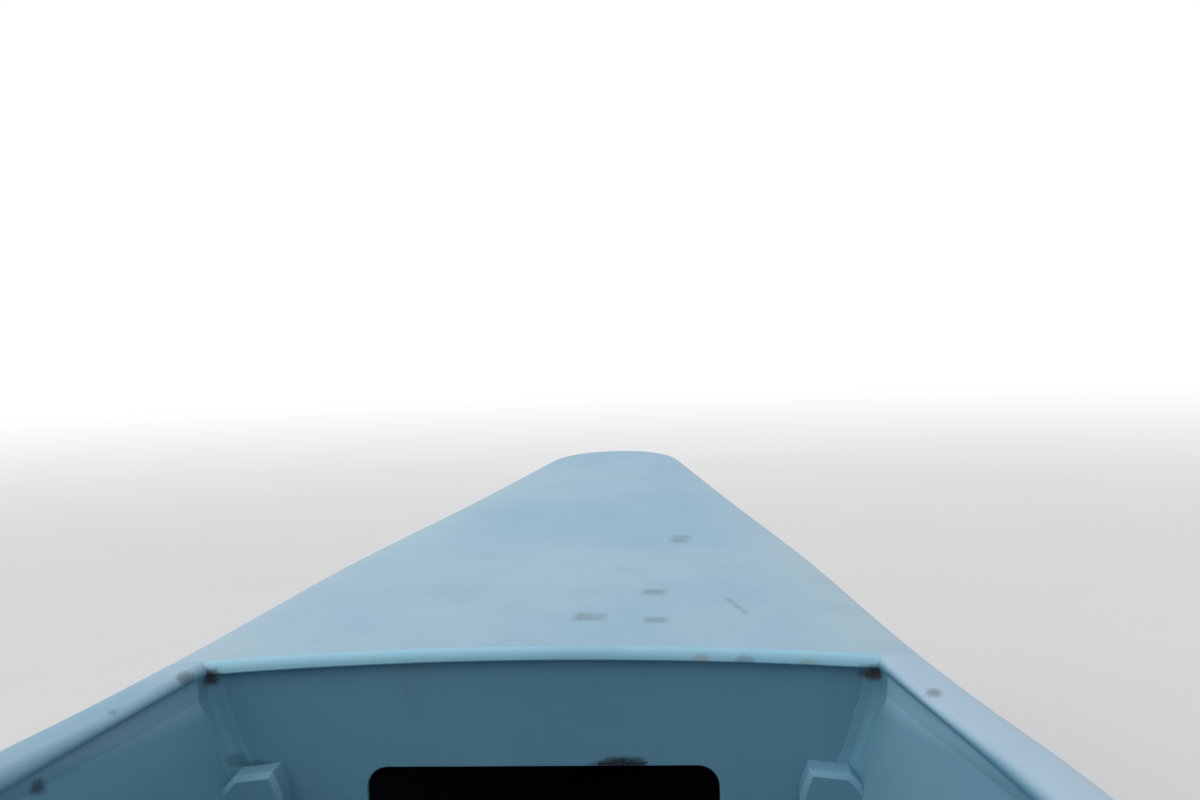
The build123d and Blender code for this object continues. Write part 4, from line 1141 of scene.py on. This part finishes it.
class SKIFF_OT_inside(bpy.types.Operator):
    """Finishes the bulkhead, posts, thwarts, sole and transom pads"""

    bl_idname = "skiff.inside"
    bl_label = "Inside"

    def tape(self, side_name, side):
        """Hand-laid glass tape over the corner between bulkhead and topside."""
        chains = []
        for step, z in enumerate(spaced(TAPE_FOOT, TAPE_TOP, 10)):
            ragged = 0.9 * sin(step * 1.7 + side) + 1.2 * sin(step * 0.6 + 2)
            corner = width_at(inner_chain(faired(BULKHEAD_FACE)), z)
            near = width_at(inner_chain(faired(BULKHEAD_FACE - TAPE_WIDTH)), z)
            inward, aft = corner - TAPE_WIDTH - ragged, BULKHEAD_FACE - TAPE_WIDTH + ragged
            corners = [
                (inward, BULKHEAD_FACE + 1),
                (inward, BULKHEAD_FACE - TAPE_THICK * 0.6),
                (corner - TAPE_THICK, BULKHEAD_FACE - TAPE_THICK),
                (near - TAPE_THICK * 0.6, aft),
                (near + 2, aft),
                (corner + 3, BULKHEAD_FACE + 1),
            ]
            chains.append([(side * x, y, z) for x, y in eased(corners, [2.0, 19, 2.0, 0.5], 6)])
        tubes([chains], f"corner_tape_{side_name}", "hull", ["tape_paint"], "inner_laminate", sharp=60)

    def fray(self):
        """Tuft of glass fibres that stands out of the hatch's cut top edge."""
        strands = []
        for index in range(FRAY_COUNT):
            x = FRAY_START + index * FRAY_GAP
            tall = 2 + 7 * exp(-(((x - TUFT_X) / TUFT_SPREAD) ** 2)) * (0.6 + 0.4 * sin(index * 2.4))
            lean = 4 * sin(index * 1.3) + 3
            path = [
                (x, BULKHEAD_FACE + 1, HATCH_TOP - 3),
                (x + lean * 0.3, BULKHEAD_FACE - 1.2, HATCH_TOP + tall * 0.5),
                (x + lean, BULKHEAD_FACE - 1.6, HATCH_TOP + tall),
            ]
            strands.append(sweep(path, 1.5, 6))
        tubes(strands, "hatch_fray", "hull", ["frayed_fibre"], "inner_laminate")

    def execute(self, context):
        screws = [stud((x, BULKHEAD_FACE, z), (0, -1, 0), 4.2, 2.0) for x, z in ((-541, 499), (532, 497))]
        tubes(screws, "rusted_screws", "hull", ["rusted_screw"], "trim_paint")
        self.fray()
        self.tape("port", -1)
        self.tape("starboard", 1)
        dress("bulkhead_paint", 2.0, 2, "fore_bulkhead")
        dress("post_paint", 4.0, 4, "corner_post_port", "corner_post_starboard")
        dress("board_wood", 1.5, 2, "riser_port", "riser_starboard", "floor_bearers")
        dress("board_wood", 2.0, 2, "sole_boards")
        dress("thwart_paint", 6.0, 4, "thwart_fore", "thwart_mid", "thwart_main", "stern_seat")
        dress("thwart_paint", 3.0, 3, "thwart_pedestals")
        dress("pad_wood", 2.0, 2, "transom_pad_inner")
        dress("pad_alloy", 1.0, 2, "transom_pad_outer")
        dress("inner_laminate", 3.0, 3, "transom_knee_port", "transom_knee_starboard")
        dress("hull_paint", 3.0, 3, "keel_strip")
        return {"FINISHED"}


# ---- outboard


def foil(row, back=0.0):
    """Closed streamlined section across the leg, its front set back from the leg's."""
    half = []
    for t in spaced(0, 1, 0.1):
        nose = sin(pi / 2 * min(t / 0.28, 1.0))
        tail = 1 - 0.82 * smoothstep(t, 0.28, 1.0)
        half.append((row.half_width * nose * tail, LEG_FRONT - back - row.length * t**1.4))
    return [(x, y, row.z) for x, y in half + [(-x, y) for x, y in reversed(half[1:])]]


def ring(y, radius, centre_z, count=32):
    """Circle across a line along Y."""
    turns = [2 * pi * i / count for i in range(count)]
    return [(radius * sin(a), y, centre_z + radius * cos(a)) for a in turns]


def blade_ring(blade, turn):
    """Closed section of a propeller blade: cambered, sharp fore and aft, turned to its pitch and place."""
    pitch = radians(blade.pitch)
    cosine, sine = cos(turn), sin(turn)
    across = spaced(-1, 1, 0.25)
    points = []
    for face, places in ((1, across), (-1, across[-2:0:-1])):
        for t in places:
            along = t * blade.chord / 2
            off = blade.chord * 0.035 * (1 - t * t) + face * blade.thick / 2 * (1 - t * t) ** 0.6
            x = along * cos(pitch) - off * sin(pitch)
            y = along * sin(pitch) + off * cos(pitch) + HUB_FORE - HUB_LENGTH / 2 + blade.rake
            z = sqrt(blade.radius**2 - x * x) if abs(x) < blade.radius else blade.radius * 0.3
            points.append((x * cosine + z * sine, y, PROP_Z - x * sine + z * cosine))
    return points


def cowl_ring(row, grow=0.0):
    """Closed rounded plan section of the cowling."""
    half = row.width / 2 + grow
    fore, aft = STEER_Y + row.fore + grow, STEER_Y - row.aft - grow
    corners = [(half, fore), (half, aft), (-half, aft), (-half, fore)]
    return [(x, y, PAN_BOTTOM + row.up) for x, y in eased(corners, [row.corner] * 4, 8, closed=True)]


class SKIFF_OT_outboard(bpy.types.Operator):
    """Finishes the outboard: clamp, swivel, leg, gearcase, propeller, cowling and tiller"""

    bl_idname = "skiff.outboard"
    bl_label = "Outboard"

    def housing(self):
        """Cowling with its seam, swage and louvres, and the rubber seal on the pan."""
        levels = [62.4, 64.5, 70] + spaced(80, 312, 14.5) + [322, 331, 338, 343.5, 347.5, 350.5, 352.6, 354]
        chains = []
        for up in levels:
            groove = SWAGE_DEPTH * max(0.0, 1 - abs(up - SWAGE_UP) / SWAGE_REACH) - (1.6 if up < 70 else 0)
            chains.append(cowl_ring(fair(COWL_ROWS, up), -groove))
        tubes([chains], "cowling_shell", "motor", ["motor_cowling"], "motor_cowling", ["motor_cowling"], sharp=40)
        seal = Form()
        seam = fair(COWL_ROWS, 63)
        profile = [(-2.4, -3), (-2.4, 2.6), (0.8, 3.2), (2.2, 1.4), (2.2, -1.8), (0.8, -3.6)]
        rows = [seal.row(cowl_ring(seam._replace(up=SEAM_UP + up), grow)) for grow, up in profile]
        seal.skin(rows + rows[:1], closed=True)
        seal.build("cowling_seal", "motor", ["grip_rubber"], "grip_rubber", sharp=60)
        louvres = []
        for up in range(236, 311, 15):
            y = STEER_Y - fair(COWL_ROWS, up).aft
            chains = []
            for x in spaced(-62, 62, 15.5):
                back = y - 3 - 5 * (1 - (x / 70) ** 4)
                profile = [(y + 6, 0), (back, -2), (back, 1), (y + 6, 9)]
                chains.append([(x, ahead, PAN_BOTTOM + up + rise) for ahead, rise in profile])
            louvres.append(chains)
        tubes(louvres, "cowling_louvres", "motor", ["motor_pan"], "motor_pan")

    def fittings(self):
        """Carrying handle and side latches of the cowling."""
        aft = STEER_Y - fair(COWL_ROWS, HANDLE_UP).aft
        path = both_sides([(0, -24), (46, -22), (56, -14), (58, 6)])
        handle = sweep([(x, aft + ahead, PAN_BOTTOM + HANDLE_UP) for x, ahead in path], 7)
        tubes([handle], "cowling_handle", "motor", ["grip_rubber"], "grip_rubber")
        plate = eased([(-12, -22), (12, -22), (12, 22), (-12, 22)], [6] * 4, 4, closed=True)
        y, z = STEER_Y - 90, PAN_BOTTOM + SEAM_UP
        latches = []
        for side in (-1, 1):
            depths = ((148.5, 1.0), (155.5, 1.0), (157.5, 0.86))
            latches.append([[(side * x, y + a * share, z + b * share) for a, b in plate] for x, share in depths])
        tubes(latches, "cowling_latches", "motor", ["pad_alloy"], "pad_alloy")

    def leg(self):
        """Leg, gearcase, plate and skeg as streamlined castings, and their bolts."""
        strut = [foil(fair(LEG_ROWS, z)) for z in spaced(-137, 521.6, 28)]
        tubes([strut], "leg_casting", "motor", ["motor_casting"], "motor_casting", ["motor_leg"], sharp=50)
        case = [ring(PROP_NOSE - back, fair(TORPEDO, back).radius, PROP_Z) for back in TORPEDO_RINGS]
        case += [ring(PROP_TAIL + 1.5, 33, PROP_Z), ring(PROP_TAIL, 30, PROP_Z)]
        neck = [foil(fair(STRUT_ROWS, z), -20) for z in spaced(-330, -141, 12)]
        skeg = [foil(row, row.back - 8) for row in SKEG_ROWS]
        half, fore = PLATE_WIDTH / 2, LEG_FRONT + PLATE_AHEAD
        starboard = [(half * 0.82, fore), (half, fore - 190), (half, fore - PLATE_LENGTH)]
        corners = starboard + [(-x, y) for x, y in reversed(starboard)]
        outline = eased(corners, [70, 120, 46, 46, 120, 70], 8, closed=True)
        middle = Vector((0, fore - PLATE_LENGTH / 2))
        plate = []
        for up, share in ((0, 0.985), (2.2, 1.0), (PLATE_THICK - 2.2, 1.0), (PLATE_THICK, 0.985)):
            plate.append([(*(middle + (point - middle) * share), PLATE_Z + up) for point in outline])
        parts = [case, neck, skeg, plate]
        tubes(parts, "gearcase_casting", "motor", ["motor_casting"], "motor_casting", ["gearcase"], sharp=42)
        bolts = []
        for side in (-1, 1):
            for back, z in ((48, -118), (100, -118), (60, 488), (130, 488)):
                wide = fair(LEG_ROWS, z).half_width * (0.86 if z < 0 else 0.8)
                bolts.append(stud((side * wide, LEG_FRONT - back, z), (side, 0, 0), 6.5, 5))
            for back in (112, 131.8, 151.6):
                bolts.append(stud((side * 39, PROP_NOSE - back, PROP_Z + 12), (side, 0, 0.3), 2.4, 2))
        tubes(bolts, "leg_bolts", "motor", ["propeller_alloy"], "propeller_alloy")

    def screw(self):
        """Propeller hub and blades."""
        profile = [(0, 20), (1.5, HUB_RADIUS - 2), (4, HUB_RADIUS), (30, HUB_RADIUS - 1), (62, HUB_RADIUS - 4)]
        profile += [(HUB_LENGTH - 3, HUB_RADIUS - 6), (HUB_LENGTH, HUB_RADIUS - 8), (HUB_LENGTH, 20)]
        profile += [(HUB_LENGTH - 14, 18), (HUB_LENGTH - 14, 12), (HUB_LENGTH + 4, 11), (HUB_LENGTH + 7, 7)]
        bodies = [[ring(HUB_FORE - back, radius, PROP_Z, 36) for back, radius in profile]]
        bodies.append([ring(HUB_FORE + ahead, SHAFT_RADIUS, PROP_Z, 24) for ahead in (74, -2)])
        for index in range(BLADE_COUNT):
            turn = 2 * pi * index / BLADE_COUNT
            bodies.append([blade_ring(fair(BLADES, radius), turn) for radius in BLADE_RINGS])
        tubes(bodies, "propeller_casting", "propeller", ["propeller_alloy"], "propeller_alloy", ["propeller"], sharp=50)

    def tiller(self):
        """Ribbed twist grip and the stop button on the arm."""
        profile = [(0.5, 15)]
        for along in spaced(1, GRIP_LENGTH - 5, 2):
            rib = 1.7 if sin(along * 2 * pi / 9) > -0.2 else 0
            collar = 1.5 if along < 6 or along > GRIP_LENGTH - 12 else 0
            profile.append((along, 17.2 + rib + collar))
        profile += [(GRIP_LENGTH - 2, 16), (GRIP_LENGTH, 11)]
        grip = [ring(GRIP_Y + along, radius, GRIP_Z, 28) for along, radius in profile]
        tubes([grip], "twist_grip", "motor", ["grip_rubber"], "grip_rubber", ["tiller_grip"], sharp=40)
        button = stud((19, GRIP_Y - 70, GRIP_Z + 2), (1, 0, 0), 9, 9)
        tubes([button], "stop_button", "motor", ["stop_red"], "grip_rubber")

    def execute(self, context):
        dress("motor_casting", 1.5, 2, "clamp_bracket", "swivel_bracket", "steering_yokes")
        dress("motor_casting", 2.5, 3, "tiller_arm")
        dress("motor_pan", 4.0, 3, "motor_pan")
        self.housing()
        self.fittings()
        self.leg()
        self.screw()
        self.tiller()
        return {"FINISHED"}


# ---- stage


class SKIFF_OT_stage(bpy.types.Operator):
    """Sets the pale floor at the waterline, the soft light and the camera"""

    bl_idname = "skiff.stage"
    bl_label = "Stage"

    def floor(self, context):
        """Pale floor at the water's level, open where the hull goes through it."""
        reach = context.scene.skiff_sizes.floor_reach / MM
        form = Form()
        places = spaced(TRANSOM_Y, 2480, 60)
        half = [width_at(outer_chain(faired(y)), 0) for y in places]
        half[-1] = 0.0
        for side in (-1, 1):
            near = form.row([(side * x, y, 0) for x, y in zip(half, places)])
            far = form.row([(side * reach, y, 0) for y in places])
            form.strip(near, far)
            form.faces.append((near[-1], far[-1], *form.row([(side * reach, reach, 0), (0, reach, 0)])))
            middle = form.row([(0, places[0], 0)])
            form.faces.append((*middle, near[0], far[0], *form.row([(side * reach, -reach, 0), (0, -reach, 0)])))
        floor = bpy.data.objects.new("floor", form.mesh("floor"))
        context.scene.collection.objects.link(floor)
        f = Finish(bpy.data.materials.new("pale_floor"))
        tone = f.mix((0.76, 0.765, 0.77, 1), (0.8, 0.8, 0.8, 1), f.noise(0.8, 3.0))
        near = f.node("ShaderNodeBsdfDiffuse", None, {"Color": tone})
        far = f.node("ShaderNodeEmission", None, {"Color": (1, 1, 1, 1)})
        away = f.vector("LENGTH", f.place, output="Value").above(5.0, 16.0)
        blend = f.node("ShaderNodeMixShader", None, {0: away * f.sightline(), 1: near, 2: far})
        floor.data.materials.append(f.shown(blend))

    def execute(self, context):
        scene = context.scene
        self.floor(context)

        sky = Finish(bpy.data.worlds.new("studio"), "ShaderNodeOutputWorld")
        level = SKY_LEVEL + (1 - SKY_LEVEL) * sky.sightline()
        scene.world = sky.shown(sky.node("ShaderNodeBackground", None, {"Color": (1, 1, 1, 1), "Strength": level}))

        for name, spot, wide, power in LAMPS:
            lamp = bpy.data.lights.new(name, "SUN")
            lamp.angle = radians(wide)
            lamp.energy = power
            holder = bpy.data.objects.new(name, lamp)
            holder.location = spot
            holder.rotation_euler = Vector(spot).to_track_quat("Z", "Y").to_euler()
            scene.collection.objects.link(holder)

        optics = bpy.data.cameras.new("camera")
        optics.sensor_width = 36
        optics.lens = CAMERA_LENS
        camera = bpy.data.objects.new("camera", optics)
        aimed = Matrix.Translation(CAMERA_PLACE)
        for angle, axis in zip(CAMERA_TURN, "ZXZ"):
            aimed = aimed @ Matrix.Rotation(radians(angle), 4, axis)
        camera.matrix_world = aimed
        scene.collection.objects.link(camera)
        scene.camera = camera
        scene.view_settings.view_transform = "Standard"
        return {"FINISHED"}


class SKIFF_PT_panel(bpy.types.Panel):
    """Lists the skiff's pieces in the sidebar"""

    bl_idname = "SKIFF_PT_panel"
    bl_label = "Lake Skiff"
    bl_space_type = "VIEW_3D"
    bl_region_type = "UI"
    bl_category = "Skiff"

    def draw(self, context):
        for group in (context.scene.skiff_colours, context.scene.skiff_sizes):
            for name in group.__annotations__:
                self.layout.prop(group, name)
        for piece in PIECES:
            self.layout.operator(piece.bl_idname)


PIECES = [SKIFF_OT_hull, SKIFF_OT_rims, SKIFF_OT_foredeck, SKIFF_OT_inside, SKIFF_OT_outboard, SKIFF_OT_stage]
CLASSES = [SkiffColours, SkiffSizes, *PIECES, SKIFF_PT_panel]


def register():
    for cls in CLASSES:
        bpy.utils.register_class(cls)
    bpy.types.Scene.skiff_colours = bpy.props.PointerProperty(type=SkiffColours)
    bpy.types.Scene.skiff_sizes = bpy.props.PointerProperty(type=SkiffSizes)


def unregister():
    del bpy.types.Scene.skiff_sizes
    del bpy.types.Scene.skiff_colours
    for cls in reversed(CLASSES):
        bpy.utils.unregister_class(cls)


def main():
    """Builds every piece in order."""
    register()
    for piece in PIECES:
        group, name = piece.bl_idname.split(".")
        getattr(getattr(bpy.ops, group), name)()


if __name__ == "__main__":
    main()
